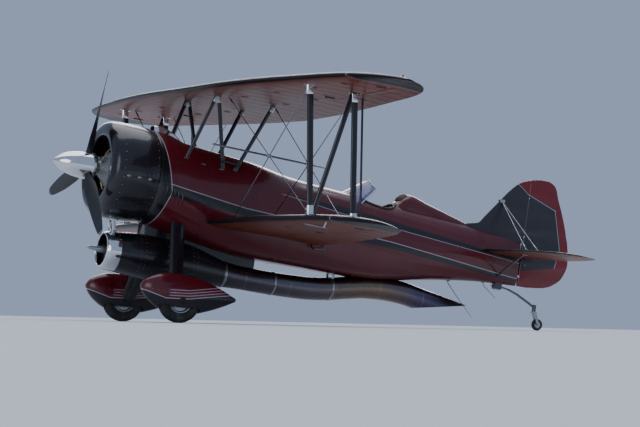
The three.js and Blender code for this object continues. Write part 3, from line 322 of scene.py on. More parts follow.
class Value:
    """A number, colour or vector inside a finish. Operators on numbers add Math nodes."""

    def __init__(self, paint, socket):
        self.paint, self.socket = paint, socket

    def __add__(self, other):
        return self.paint.maths("ADD", self, other)

    def __sub__(self, other):
        return self.paint.maths("SUBTRACT", self, other)

    def __rsub__(self, other):
        return self.paint.maths("SUBTRACT", other, self)

    def __mul__(self, other):
        return self.paint.maths("MULTIPLY", self, other)

    def __truediv__(self, other):
        return self.paint.maths("DIVIDE", self, other)

    def __abs__(self):
        return self.paint.maths("ABSOLUTE", self)

    def __pow__(self, power):
        return self.paint.maths("POWER", self, power)

    def __or__(self, other):
        return self.paint.maths("MAXIMUM", self, other)

    __radd__, __rmul__ = __add__, __mul__

    def fade(self, start, end):
        """0 before start, 1 past end, and a soft edge between them. Start may be the larger."""
        made = self.paint.node("ShaderNodeMapRange", {"interpolation_type": "SMOOTHSTEP"}, {
            "Value": self, "From Min": start, "From Max": end})
        return Value(self.paint, made.outputs[0])

    def band(self, centre, half, soft=0.004):
        """1 within half of the centre."""
        return abs(self - centre).fade(half + soft, half)

    def stripes(self, spacing, half, soft):
        """Bands of the given half width, one at each multiple of the spacing."""
        return abs(self.paint.maths("PINGPONG", self, spacing / 2)).fade(half + soft, half)

    def line(self, points):
        """A height that follows straight lines between (position, height) points."""
        (x0, *_), (x1, *_) = points[0], points[-1]
        low, high = min(z for _, z in points), max(z for _, z in points)
        share = (self - x0) / (x1 - x0)
        stops = [((x - x0) / (x1 - x0), (*[(z - low) / (high - low)] * 3, 1)) for x, z in points]
        made = self.paint.node("ShaderNodeValToRGB", {"stops": stops}, {0: share})
        return Value(self.paint, made.outputs[0]) * (high - low) + low


# %% [markdown]
# Every node comes from one method that takes its type, its settings and what its sockets hold.
# A finish also knows where it is on the aeroplane, mixes colours, and has grain and bump.

# %% The finish maker


class Finish:
    """A material under construction, with its main shader's constants."""

    def __init__(self, name, constants, slot=""):
        self.material = bpy.data.materials.new(name)
        self.material.use_nodes = True
        self.tree, self.slot = self.material.node_tree, slot
        self.shader = self.tree.nodes["Principled BSDF"]
        self.set(self.shader, constants)
        here = Value(self, self.node("ShaderNodeTexCoord").outputs["Object"])
        turned = self.node("ShaderNodeMapping", {"vector_type": "POINT"}, {
            "Vector": here, "Location": PLACE.inverted().translation[:], "Rotation": (0, -PITCH, 0)})
        self.point = Value(self, turned.outputs[0])
        apart = self.node("ShaderNodeSeparateXYZ", {}, {0: self.point})
        self.axes = [Value(self, socket) for socket in apart.outputs]

    def set(self, node, sockets):
        for name, value in sockets.items():
            if isinstance(value, Value):
                self.tree.links.new(value.socket, node.inputs[name])
            else:
                node.inputs[name].default_value = value

    def node(self, kind, settings=None, sockets=None):
        made = self.tree.nodes.new(kind)
        for name, value in (settings or {}).items():
            if name != "stops":
                setattr(made, name, value)
                continue
            stops = made.color_ramp.elements
            while len(stops) < len(value):
                stops.new(0.5)
            for stop, (position, color) in zip(stops, value):
                stop.position, stop.color = position, color
        self.set(made, sockets or {})
        return made

    def maths(self, operation, *inputs):
        made = self.node("ShaderNodeMath", {"operation": operation}, dict(enumerate(inputs)))
        return Value(self, made.outputs[0])

    def mix(self, share, first, second):
        """One colour turning into another."""
        made = self.node("ShaderNodeMix", {"data_type": "RGBA"}, {0: share, 6: first, 7: second})
        return Value(self, made.outputs[2])

    def grain(self, scale, stretch=(1, 1, 1), detail=4):
        """Cloudy noise from 0 to 1, which may be stretched along an axis."""
        scaled = self.node("ShaderNodeMapping", {}, {"Vector": self.point, "Scale": stretch})
        made = self.node("ShaderNodeTexNoise", {}, {
            "Vector": Value(self, scaled.outputs[0]), "Scale": scale, "Detail": detail})
        return Value(self, made.outputs["Fac"])

    def cloudy(self, scale, first, second):
        """Two colours in soft clouds."""
        return self.mix(self.grain(scale), first, second)

    def coat(self, color, roughness=None, height=None, depth=0.001):
        """What the main shader shows. Roughness and height may vary over the surface."""
        self.set(self.shader, {"Base Color": color})
        if roughness is not None:
            self.set(self.shader, {"Roughness": roughness})
        if height is not None:
            made = self.node("ShaderNodeBump", {}, {"Height": height, "Distance": depth, "Strength": 1.0})
            self.set(self.shader, {"Normal": Value(self, made.outputs[0])})


finishes = {}


def finish(slot, constants, variant=""):
    """A new finish, named after one of the record's material slots."""
    finishes[slot + variant] = Finish(slot + variant, constants, slot)
    return finishes[slot + variant]


# %% [markdown]
# The paints are deep maroon and black under thick clear coat. A maroon that is nearly black in
# the shade and red in the light needs a dark base colour and a strong coat, with a little unevenness
# in both, because a hand-sprayed skin is never perfectly flat.

# %% Colours
MAROON = (0.110, 0.0045, 0.011, 1)
MAROON_SHADE = (0.065, 0.003, 0.008, 1)
# Painted light: browner, brighter colours for wing undersides lit through the cloth.
UNDERSIDE_LIT = (0.24, 0.046, 0.014, 1)
UNDERSIDE_LIT_DARK = (0.125, 0.020, 0.009, 1)
BLACK = (0.0055, 0.005, 0.0075, 1)
SILVER_GREY = (0.33, 0.31, 0.36, 1)
CLEAR_COAT = {"Roughness": 0.3, "Coat Weight": 0.55, "Coat Roughness": 0.06, "Specular IOR Level": 0.35}
CLOTH_COAT = {"Roughness": 0.45, "Coat Weight": 0.12, "Coat Roughness": 0.2, "Specular IOR Level": 0.2}

# %% [markdown]
# The fuselage is metal in front, where panels meet at riveted seams, and fabric over long
# stringers behind. Black flows back from the nose as a thin band edged with grey, and a second
# band starts as a point beside the cockpit.

# %% Fuselage paint
SEAMS = (1.42, 1.92, 2.46, 3.02)
FABRIC_START = SEAMS[-1]
body_paint = finish("fuselage_paint", CLEAR_COAT)
x, y, z = body_paint.axes
tone = body_paint.grain(3.0)
maroon = body_paint.mix(tone, MAROON_SHADE, MAROON)
upper_band = x.line([(1.5, 0.12), (2.8, 0.06), (3.6, 0.0), (4.8, -0.106), (5.97, -0.194), (6.6, -0.24)])
lower_band = x.line([(1.2, -0.155), (1.8, -0.21), (2.44, -0.275), (3.3, -0.31), (4.49, -0.354),
                     (6.17, -0.475), (6.6, -0.50)])
thin = x.line([(1.2, 0.07), (2.2, 0.05), (4.0, 0.04), (6.6, 0.02)])
lance = thin * x.fade(2.9, 3.9)
behind_cowl = x + abs(z + 0.18) * 0.22
nose = behind_cowl.fade(1.37, 1.366)
black = (abs(z - upper_band) - lance).fade(0.002, 0) | (abs(z - lower_band) - thin).fade(0.002, 0) | nose
edge = ((z - lower_band - thin).band(0.010, 0.005, 0.001)
        | (z - upper_band + lance).band(-0.009, 0.003, 0.001) * x.fade(2.9, 2.92))
edge = edge * (1 - nose) | behind_cowl.band(1.38, 0.005, 0.001)
color = body_paint.mix(edge, body_paint.mix(black, maroon, BLACK), SILVER_GREY)
seams = sum(x.band(at, 0.0011, 0.0008) for at in SEAMS)
seams = seams + z.band(0.205, 0.0011, 0.0008) * x.fade(FABRIC_START + 0.01, FABRIC_START)
color = body_paint.mix(seams * 0.7, color, (0.002, 0.002, 0.002, 1))
stringers = (z - upper_band).stripes(0.125, 0.001, 0.045) * x.fade(FABRIC_START, 3.3)
frames = (x - FABRIC_START).stripes(0.52, 0.014, 0.006) * x.fade(FABRIC_START, 3.04)
skin = body_paint.grain(26, detail=2) * 0.12
body_paint.coat(color, tone * 0.14 + 0.22, height=stringers * 1.4 + frames * 0.35 + skin - seams * 1.2,
                depth=0.0022)
print("fuselage paint:", len(body_paint.tree.nodes), "nodes")

# %% [markdown]
# Wing fabric is glued over ribs and taped along each one, so a rib shows as a thin raised tape
# with the cloth dished a little on both sides. The undersides are painted browner and brighter
# than the tops, as painted light shining through the cloth, and the ribs and spars are painted on
# them as shadows.

# %% Wing paint
RIB_STEP, FIRST_RIB = 0.305, 0.12


def wing_finish(variant, lead, spars, rib_spacing, tip=None):
    """Doped fabric for one surface. Lead gives the leading edge's x at span positions."""
    made = finish("wing_paint", CLOTH_COAT, variant)
    x, span = made.axes[0], abs(made.axes[1])
    behind = x - span.line(lead)
    normal = made.node("ShaderNodeSeparateXYZ", {}, {
        0: Value(made, made.node("ShaderNodeNewGeometry").outputs["True Normal"])})
    underside = Value(made, normal.outputs[2]).fade(0.1, -0.1)
    tone = made.grain(2.2, (1, 0.6, 1))
    top = made.mix(tone, MAROON_SHADE, MAROON)
    # Painted light: undersides take this browner, brighter colour, as if lit through the cloth.
    lit = made.mix(tone, UNDERSIDE_LIT_DARK, UNDERSIDE_LIT)
    color = made.mix(underside, top, lit)
    covered = behind.fade(0.16, 0.17)
    ribs = (span - FIRST_RIB).stripes(rib_spacing, 0.011, 0.002) * covered
    spar = sum(behind.band(at, 0.022, 0.02) for at in spars)
    # Painted shadow: on the undersides, ribs, spars and the uncovered leading edge are darkened as shadows
    # in light shining through the cloth.
    inside = made.maths("MINIMUM", ribs + spar * 0.8 + (1 - covered) * 0.55, 1) * underside
    color = made.mix(inside * 0.55, color, (0.045, 0.009, 0.009, 1))
    color = made.mix(behind.fade(0.035, 0.03), color, BLACK)
    if tip:
        color = made.mix(span.fade(tip, tip + 0.004), color, BLACK)
        color = made.mix(span.band(tip - 0.012, 0.006, 0.001), color, SILVER_GREY)
    dish = (span - FIRST_RIB).stripes(rib_spacing, 0.0, rib_spacing / 2) * covered
    stitches = ribs * x.stripes(0.06, 0.003, 0.004)
    weave = made.grain(420, detail=1) * 0.05
    made.coat(color, tone * 0.12 + ribs * 0.1 + 0.4,
              height=dish * 1.3 + ribs * 0.28 + stitches * 0.25 + weave + spar * 0.5, depth=0.0026)
    return made


upper_paint = wing_finish("", [(0, 1.48), (1, 1.5), (2, 1.57), (3, 1.7), (3.6, 1.79), (4, 1.88),
                               (4.3, 2.01), (4.5, 2.17), (4.6, 2.36)], (0.25, 1.0), RIB_STEP, 4.02)
lower_paint = wing_finish("_lower", [(0.3, 1.93), (1, 1.945), (2, 1.98), (3, 2.06), (3.4, 2.14),
                                     (3.7, 2.25), (3.88, 2.38), (4, 2.62)], (0.25, 0.86), RIB_STEP, 3.5)
tail_cloth = wing_finish("_tail", [(0, 5.94), (0.7, 6.04), (1.05, 6.13), (1.3, 6.24), (1.44, 6.37),
                                   (1.5, 6.49)], (0.3,), 0.24)
print("wing paint:", len(upper_paint.tree.nodes), "nodes")

# %% [markdown]
# Fin and rudder are charcoal, with red along the top, down the trailing edge and at the foot.

# %% Tail paint
tail_paint = finish("tail_paint", CLEAR_COAT)
x, y, z = tail_paint.axes
tone = tail_paint.grain(3.5)
charcoal = tail_paint.mix(tone, (0.012, 0.011, 0.015, 1), (0.03, 0.027, 0.036, 1))
red = tail_paint.mix(tone, MAROON, (0.21, 0.008, 0.012, 1))
cap = z - x.line([(6.1, 1.0), (6.55, 0.66), (7.02, 0.50), (7.3, 0.3)])
rear = x - z.line([(-0.6, 6.75), (-0.3, 7.08), (0.0, 7.14), (0.5, 7.0), (0.9, 6.8)])
foot = -0.33 - z
red_share = cap.fade(0, 0.003) | rear.fade(0, 0.003) | (foot + (x - 6.7) * 0.2).fade(0, 0.003)
line = cap.band(-0.012, 0.004, 0.001) | rear.band(-0.012, 0.004, 0.001)
color = tail_paint.mix(red_share, charcoal, red)
color = tail_paint.mix(line * (1 - red_share) * foot.fade(0.0, -0.02), color, SILVER_GREY)
dish = z.stripes(0.22, 0.0, 0.11) * 1.4
tail_paint.coat(color, tone * 0.12 + 0.24, depth=0.0022,
                height=dish + z.stripes(0.22, 0.01, 0.002) * 0.3 + tail_paint.grain(420, detail=1) * 0.05)

# %% [markdown]
# The wheel fairings are maroon over black, parted by fine grey-pink stripes that sweep back and up.

# %% Fairing paint
spat_paint = finish("spat_paint", CLEAR_COAT)
x, y, z = spat_paint.axes
tone = spat_paint.grain(5)
sweep = z - x.line([(1.0, -1.43), (1.3, -1.50), (1.6, -1.47), (2.0, -1.38), (2.25, -1.33)])
color = spat_paint.mix(sweep.fade(0.0, -0.002), spat_paint.mix(tone, MAROON_SHADE, MAROON), BLACK)
pinstripes = sweep.stripes(0.034, 0.004, 0.001) * sweep.fade(0.01, 0.012)
pinstripes = pinstripes * sweep.fade(0.124, 0.122) * x.fade(1.32, 1.36)
color = spat_paint.mix(pinstripes, color, (0.42, 0.27, 0.34, 1))
color = spat_paint.mix(sweep.band(0.0, 0.005, 0.001), color, SILVER_GREY)
# Darker in blotches towards the bottom of the fairing.
low_darkening = (spat_paint.grain(60) + (z + 1.6) * 1.2).fade(0.42, 0.3)
color = spat_paint.mix(low_darkening * 0.5, color, (0.05, 0.04, 0.035, 1))
spat_paint.coat(color, tone * 0.14 + 0.22, depth=0.002,
                height=spat_paint.grain(30, detail=2) * 0.15 - z.band(-1.41, 0.0012, 0.001))

# %% [markdown]
# Black gloss covers the cowling, the jet's nacelle and the struts. Each has its own wear: cowlings
# carry seams and fine scratches from polishing, struts have chips, and a nacelle gathers soot.

# %% Black paints


def black_gloss(slot, wear, wear_color, seams=()):
    """Black paint with wear of its own colour, and shut lines at the seams' x."""
    made = finish(slot, CLEAR_COAT)
    x, cloud = made.axes[0], made.grain(4)
    chips = made.grain(90, detail=6).fade(0.70, 0.74) * wear
    color = made.mix(cloud, BLACK, (0.013, 0.0115, 0.0165, 1))
    made.coat(made.mix(chips, color, wear_color), cloud * 0.12 + chips * 0.3 + 0.2, depth=0.0018,
              height=made.grain(40, detail=2) * 0.14 - sum(x.band(at, 0.0012, 0.001) for at in seams))
    return made


cowl_paint = black_gloss("cowling_paint", 0.25, (0.2, 0.2, 0.21, 1), (0.73, 1.0))
strut_paint = black_gloss("strut_paint", 0.6, (0.22, 0.22, 0.23, 1))
nacelle_paint = black_gloss("nacelle_paint", 0.35, (0.14, 0.13, 0.13, 1), (1.25, 1.6, 1.95))
panel_paint = black_gloss("panel_paint", 0.7, (0.12, 0.12, 0.12, 1))
panel_paint.set(panel_paint.shader, {"Coat Weight": 0.0})

# %% [markdown]
# Propeller blades are satin charcoal enamel, scoured by grit towards the end, with a short grey
# tip, so that ground crew can see the disc when it turns.

# %% Propeller paint
blade_paint = finish("propeller_paint", {"Coat Weight": 0.1, "Coat Roughness": 0.3,
                                         "Specular IOR Level": 0.3})
x, y, z = blade_paint.axes
radius = (y * y + z * z) ** 0.5
tone = blade_paint.grain(7)
color = blade_paint.mix(tone, (0.012, 0.012, 0.014, 1), (0.03, 0.03, 0.035, 1))
color = blade_paint.mix(radius.fade(1.165, 1.167), color, (0.16, 0.155, 0.15, 1))
scour = blade_paint.grain(160, detail=6).fade(0.6, 0.72) * radius.fade(0.5, 1.2)
color = blade_paint.mix(scour * 0.5, color, (0.13, 0.13, 0.14, 1))
blade_paint.coat(color, scour * 0.2 + tone * 0.1 + 0.42, height=scour * -0.4 + tone * 0.2, depth=0.0006)

# %% [markdown]
# Bare metals differ in how they were worked. Chrome is polished with faint swirls, drawn steel has
# long fine lines, and cast metal is grainy. The tailpipe has blued and browned in its own heat,
# most of all towards its open end.

# %% Metals


def metal(slot, dark, light, roughness, swing, scale, stretch=(1, 1, 1), depth=0.0003, variant=""):
    made = finish(slot, {"Metallic": 1.0}, variant)
    lines = made.grain(scale, stretch, 6)
    made.coat(made.cloudy(scale * 0.35, dark, light), lines * swing + (roughness - swing / 2), height=lines,
              depth=depth)
    return made


chrome = metal("chrome", (0.68, 0.69, 0.71, 1), (0.82, 0.83, 0.85, 1), 0.08, 0.07, 40, depth=0.00005)
steel = metal("steel", (0.30, 0.31, 0.33, 1), (0.5, 0.51, 0.53, 1), 0.34, 0.2, 60, (0.1, 1, 1))
spring_steel = metal("spring_steel", (0.07, 0.07, 0.08, 1), (0.15, 0.15, 0.16, 1), 0.4, 0.2, 60,
                     (0.1, 1, 1))
wheel_metal = metal("wheel_metal", (0.4, 0.41, 0.43, 1), (0.58, 0.59, 0.6, 1), 0.36, 0.2, 90)
engine_metal = metal("engine_metal", (0.16, 0.16, 0.165, 1), (0.33, 0.33, 0.335, 1), 0.5, 0.25, 120,
                     depth=0.0009)
engine_metal.set(engine_metal.shader, {"Metallic": 0.7})
brass = metal("steel", (0.42, 0.27, 0.1, 1), (0.6, 0.42, 0.18, 1), 0.3, 0.15, 80, variant="_brass")

pipe_metal = finish("tailpipe_metal", {"Metallic": 1.0})
x, y, z = pipe_metal.axes
drawn = pipe_metal.grain(70, (0.04, 1, 1), 6)
cloud = pipe_metal.grain(3, (0.5, 1, 1))
heat = pipe_metal.node("ShaderNodeValToRGB", {"stops": [
    (0.0, (0.10, 0.10, 0.12, 1)), (0.4, (0.16, 0.145, 0.16, 1)), (0.62, (0.23, 0.17, 0.12, 1)),
    (0.8, (0.12, 0.10, 0.17, 1)), (0.93, (0.075, 0.075, 0.095, 1)), (1.0, (0.03, 0.028, 0.028, 1))]},
    {0: (x - 2.3 + cloud * 0.5) / 3.9})
rings = sum(x.band(at, 0.004, 0.003) for at in (2.7, 3.32, 3.94, 4.56, 5.18))
soot = (x + cloud * 0.5).fade(5.75, 6.2)
color = pipe_metal.mix(rings * 0.5, Value(pipe_metal, heat.outputs[0]), (0.35, 0.27, 0.2, 1))
pipe_metal.coat(color, drawn * 0.2 + soot * 0.4 + 0.16, height=drawn * 0.3 + rings * 1.5, depth=0.0012)
print("metals:", [name for name in finishes
                  if finishes[name].shader.inputs["Metallic"].default_value > 0.5])

# %% [markdown]
# Rubber is dull with a fine tooth and dust in its grooves. Leather has pebbled grain that is
# glossy on the high spots. The windshield is a thin blue-violet tinted sheet.

# %% Rubber, leather, cloth and glass
rubber = finish("tyre", {"Roughness": 0.8})
dust = rubber.grain(9)
color = rubber.mix(dust.fade(0.4, 0.75), (0.012, 0.012, 0.012, 1), (0.05, 0.046, 0.042, 1))
rubber.coat(color, dust * 0.2 + 0.68, height=rubber.grain(300, detail=3), depth=0.0006)

leather = finish("seat_leather", {"Specular IOR Level": 0.45})
cells = leather.node("ShaderNodeTexVoronoi", {"feature": "DISTANCE_TO_EDGE"}, {
    "Vector": leather.point, "Scale": 230.0})
pebbles = Value(leather, cells.outputs["Distance"]).fade(0.0, 0.3)
color = leather.mix(leather.grain(14).fade(0.45, 0.7), (0.03, 0.011, 0.008, 1), (0.095, 0.04, 0.022, 1))
leather.coat(color, 0.62 - pebbles * 0.2, height=pebbles, depth=0.0009)

webbing = finish("seat_leather", {"Roughness": 0.85}, "_webbing")
x, y, z = webbing.axes
weave = (x + z).stripes(0.004, 0.0006, 0.001) * y.stripes(0.004, 0.0006, 0.001)
webbing.coat(webbing.mix(weave, (0.05, 0.052, 0.05, 1), (0.1, 0.1, 0.095, 1)), height=weave, depth=0.0006)

glass = finish("windshield_glass", {
    "Roughness": 0.04, "Alpha": 0.6, "Coat Weight": 0.4, "Coat Roughness": 0.02, "Specular IOR Level": 0.5})
haze = glass.grain(6)
glass.coat(glass.mix(haze, (0.03, 0.03, 0.19, 1), (0.055, 0.052, 0.27, 1)), haze * 0.06 + 0.02,
           height=glass.grain(4) * 0.4, depth=0.0006)

# %% [markdown]
# Small CAD parts such as struts and legs already have the right shape, only in flat facets. They
# get a welded copy that shades smoothly and stands for the CAD part. Cables keep theirs.

# %% Skins for CAD parts
SIDES = [("left", Shape.mirrored), ("right", Shape.shifted)]


def smoothed(node, paint):
    """A CAD part's own shape, welded and smoothly shaded."""
    made = raw_object(node + "_skin", shape_of(frame["nodes"][node].data), 38)
    made.modifiers.new("even shading", "WEIGHTED_NORMAL").keep_sharp = True
    return dressed(made, paint, body_of[node], [node])


for side, _ in SIDES:
    for node in ("interplane_struts", "cabane_struts", "aileron_link", "tail_strut", "gear_leg"):
        smoothed(f"{node}_{side}", strut_paint)
    for node in ("bracing_wires", "tail_wires"):
        frame["nodes"][f"{node}_{side}"].data.materials[0] = steel.material
for node, paint in (("elevator_torque_tube", steel), ("propeller_hub", steel),
                    ("tail_spring", spring_steel), ("tail_fork", steel),
                    ("instrument_panel", panel_paint), ("control_stick", engine_metal),
                    ("air_scoop", chrome), ("jet_engine", engine_metal)):
    smoothed(node, paint)

# %% [markdown]
# A wing is a row of ribs with cloth pulled over them. Each station of the table gives one rib, and
# smooth curves between stations give the skin, with many points round the nose, where it curves
# most. The aileron is cut from the same skin, so both parts keep one outline.

# %% Wing skins
RISE, INCIDENCE = np.tan(radians(0.6)), np.tan(radians(2.5))
HINGE_SWEEP, GAP, FAR, BEHIND_WING = -0.055, 0.006, 2.0, 4.5
LINK_SPAN, LINK_ARM, LINK_SLOT = 2.6, 0.13, (0.054, 0.0165, 0.018)
UPPER_WING = {"root": 1.09, "camber": 0.035, "incidence": INCIDENCE, "sections": np.array([
    [0.0002, 1.48, 3.26, 0.158], [1, 1.5, 3.22, 0.155], [2, 1.57, 3.13, 0.146], [3, 1.7, 3.015, 0.126],
    [3.6, 1.79, 2.945, 0.11], [4, 1.88, 2.86, 0.09], [4.3, 2.01, 2.74, 0.064], [4.5, 2.17, 2.6, 0.038],
    [4.6, 2.36, 2.47, 0.02]]), "aileron": (2.05, 3.9), "hinge": 2.69}
LOWER_WING = {"root": -0.495, "camber": 0.035, "incidence": INCIDENCE, "sections": np.array([
    [0.3, 1.93, 3.42, 0.148], [1, 1.945, 3.39, 0.145], [2, 1.98, 3.3, 0.136], [3, 2.06, 3.17, 0.118],
    [3.4, 2.14, 3.09, 0.102], [3.7, 2.25, 2.99, 0.08], [3.88, 2.38, 2.89, 0.056],
    [3.97, 2.52, 2.78, 0.034], [4, 2.62, 2.7, 0.02]]), "aileron": (1.85, 3.35), "hinge": 2.905}


def rib(wing, fraction, lead, trail, thickness):
    """Heights of the upper and lower face above a rib's own datum."""
    half = 5 * thickness * (0.2969 * fraction**0.5 - 0.126 * fraction - 0.3516 * fraction**2
                            + 0.2843 * fraction**3 - 0.0995 * fraction**4)
    middle = (trail - lead) * (4 * wing["camber"] * fraction * (1 - fraction)
                               + wing["incidence"] * (0.5 - fraction))
    return middle + half, middle - half


def wing_skin(wing, stations=56, steps=22):
    spans = np.unique(np.r_[np.linspace(wing["sections"][0, 0], wing["sections"][-1, 0], stations),
                            wing["sections"][-1, 0] - np.array([0.012, 0.03, 0.05])])
    fractions = ((1 - np.cos(np.linspace(0, pi, steps + 1))) / 2) ** 1.35
    rings = []
    for span, (lead, trail, thickness) in zip(spans, flow(wing["sections"], spans)):
        top, bottom = rib(wing, fractions, lead, trail, thickness)
        x = lead + (trail - lead) * fractions
        height = wing["root"] + wing.get("rise", RISE) * span
        upper = np.c_[x, np.full(len(x), span), height + top]
        lower = np.c_[x, np.full(len(x), span), height + bottom]
        rings.append(np.vstack([upper, lower[:0:-1]]))
    return loft(rings)


def wing_middle(wing, span, x):
    """Height of the mid line and half the thickness, at a span position and an x."""
    table = wing["sections"]
    lead, trail, thickness = (np.interp(span, table[:, 0], column) for column in table[:, 1:].T)
    top, bottom = rib(wing, (x - lead) / (trail - lead), lead, trail, thickness)
    return wing["root"] + RISE * span + (top + bottom) / 2, (top - bottom) / 2


print("upper wing skin:", len(wing_skin(UPPER_WING).faces), "faces")

# %% [markdown]
# An aileron's nose is round about its hinge line, and the wing in front is hollowed to match with a
# constant gap. So the cutters are a round bar along the hinge and everything behind it.

# %% Ailerons and their cut-outs


def hinge_x(wing, span):
    """The hinge line's x."""
    return wing["hinge"] + HINGE_SWEEP * (span - wing["aileron"][0])


HINGE_RISE = np.subtract(*[wing_middle(UPPER_WING, span, hinge_x(UPPER_WING, span))[0]
                           for span in UPPER_WING["aileron"][::-1]]) / np.ptp(UPPER_WING["aileron"])


def hinge_point(wing, span):
    start = wing["aileron"][0]
    height = wing_middle(wing, start, hinge_x(wing, start))[0] + HINGE_RISE * (span - start)
    return np.array([hinge_x(wing, span), span, height])


def hinge_bar(wing, start, end, grow, radius=None):
    """A round bar along the hinge, as thick as the wing unless a radius is given."""
    rings = []
    for span in np.linspace(start, end, 12):
        size = (wing_middle(wing, span, hinge_x(wing, span))[1] if radius is None else radius) + grow
        rings.append([hinge_point(wing, span) + [size * cos(a), 0, size * sin(a)] for a in turns(28)])
    return loft(rings)


def upright(outline, low=-FAR, high=FAR):
    """A flat outline of (x, y) points as a column."""
    return loft([[(x, y, z) for x, y in outline] for z in (low, high)])


def box_between(low, high):
    (x0, y0, z0), (x1, y1, z1) = low, high
    return upright([(x0, y0), (x1, y0), (x1, y1), (x0, y1)], z0, z1)


def behind_hinge(wing, gap):
    """Everything behind an aileron's hinge line, as a column."""
    y0, y1 = wing["aileron"][0] - gap, wing["aileron"][1] + gap
    x0, x1 = hinge_x(wing, y0), hinge_x(wing, y1)
    return upright([(x0, y0), (BEHIND_WING, y0 - HINGE_SWEEP * (BEHIND_WING - x0)),
                    (BEHIND_WING, y1 - HINGE_SWEEP * (BEHIND_WING - x1)), (x1, y1)])


def link_place(wing):
    """Where the link's pin goes through an aileron."""
    return hinge_point(wing, LINK_SPAN) + [LINK_ARM, 0, 0]


def wing_parts(wing):
    """The fixed panel and the aileron, both for the starboard side."""
    whole, (start, end) = wing_skin(wing), wing["aileron"]
    panel = carved(whole, behind_hinge(wing, GAP), hinge_bar(wing, start - GAP, end + GAP, GAP))
    x, y, z = link_place(wing)
    long, wide, deep = LINK_SLOT
    low, high = (z - FAR, z + deep) if wing is UPPER_WING else (z - deep, z + FAR)
    flap = carved(carved(whole, behind_hinge(wing, 0), operation="INTERSECT"),
                  hinge_bar(wing, start, end, 0), operation="UNION")
    flap = carved(flap, box_between((x - long, y - wide, low), (x + long, y + wide, high)))
    pins = [hinge_bar(wing, at - inner, at + outer, 0, 0.008)
            for at, inner, outer in ((start, 0.022, 0.01), (end, 0.01, 0.022))]
    link_pin = loft([[link_place(wing) + [0.006 * cos(a), reach, 0.006 * sin(a)] for a in turns(12)]
                     for reach in (-0.0175, 0.0175)])
    return panel, together([flap, *pins, link_pin])


for label, wing, paint in (("upper", UPPER_WING, upper_paint), ("lower", LOWER_WING, lower_paint)):
    panel, flap = wing_parts(wing)
    for side, turn in SIDES:
        for node, shape in ((f"{label}_wing_{side}", panel), (f"aileron_{label}_{side}", flap)):
            piece(node + "_skin", turn(shape), paint, body_of[node], stands_for=[node])
print("aileron hinge starts at",
      [round(float(v), 4) for v in PLACE @ Vector(hinge_point(UPPER_WING, 2.05))])

# %% [markdown]
# The fuselage has a rounder back and a boxier belly, so each section has its own squareness above
# and below the middle. The cockpit is cut through the skin into a room inside it.

# %% Fuselage
SECTIONS = [
    [1.15, 0.52, -0.52, 0.52, 2, 2], [1.23, 0.575, -0.585, 0.578, 2, 2],
    [1.42, 0.555, -0.63, 0.56, 2, 2.1], [1.65, 0.49, -0.675, 0.525, 2.1, 2.2],
    [2.1, 0.442, -0.748, 0.485, 2.2, 2.5], [2.6, 0.395, -0.8, 0.462, 2.2, 2.8],
    [3.14, 0.3, -0.812, 0.452, 2.3, 2.9], [3.7, 0.252, -0.815, 0.44, 2.4, 2.9],
    [4.25, 0.218, -0.806, 0.41, 2.4, 2.9], [4.83, 0.176, -0.748, 0.345, 2.3, 2.8],
    [5.4, 0.128, -0.662, 0.255, 2.2, 2.6], [6.0, 0.07, -0.588, 0.15, 2.1, 2.4],
    [6.54, 0.016, -0.56, 0.042, 2, 2.2]]


def section_at(x):
    """The fuselage at x: its top, middle and bottom, half its width, and its squareness."""
    (top, bottom, half, upper, lower), = flow(SECTIONS, x)
    return top, bottom + 0.45 * (top - bottom), bottom, half, upper, lower


def power_of(value, power):
    """A power that keeps the sign."""
    return np.sign(value) * abs(value) ** power


def skin_point(x, angle, out=0.0):
    """A point of the fuselage skin at an angle from starboard towards the top."""
    top, middle, bottom, half, upper, lower = section_at(x)
    c, s = cos(angle), sin(angle)
    power, reach = (2 / upper, top - middle) if s > 0 else (2 / lower, middle - bottom)
    return np.array([x, (half + out) * power_of(c, power), middle + (reach + out) * power_of(s, power)])


def skin_normal(x, angle):
    along = skin_point(x + 0.01, angle) - skin_point(x - 0.01, angle)
    around = skin_point(x, angle + 0.01) - skin_point(x, angle - 0.01)
    return Vector(np.cross(around, along)).normalized()


def fuselage_body(out=0.0, sides=80, count=88):
    return loft([[skin_point(x, a, out) for a in turns(sides)] for x in np.linspace(1.15, 6.54, count)])


def deck_height(x, y):
    """Height of the top skin at a place off the centre line."""
    top, middle, _, half, upper, _ = section_at(x)
    return middle + (top - middle) * (1 - min(abs(y) / half, 1) ** upper) ** (1 / upper)


OPENING_X, OPENING_LONG, OPENING_WIDE, ROUNDNESS = 4.315, 0.295, 0.265, 0.7


def opening_point(angle):
    """The cockpit opening's edge in plan."""
    return (OPENING_X + OPENING_LONG * power_of(cos(angle), ROUNDNESS),
            OPENING_WIDE * power_of(sin(angle), ROUNDNESS))


solid_body = fuselage_body()
cabin = carved(fuselage_body(-0.034, 64, 70), box_between((3.48, -2, -0.56), (4.7, 2, 2)),
               operation="INTERSECT")
hollow_body = carved(solid_body, cabin, upright([opening_point(a) for a in turns(64)], 0, FAR))
fuselage = piece("fuselage_skin", hollow_body, body_paint, stands_for=["fuselage"])


def in_cabin(x, y, z):
    """Faces of the room under the deck and of the opening's edge."""
    if not 3.47 < x < 4.71:
        return False
    if 3.7 < x < 4.65 and abs(y) < 0.3 and 0 < z < deck_height(x, y) - 0.006:
        return True
    top, middle, bottom, half, upper, lower = section_at(x)
    reach, power = (top - middle, upper) if z > middle else (middle - bottom, lower)
    return min(abs(y / half), 1) ** power + min(abs((z - middle) / reach), 1) ** power < 0.93


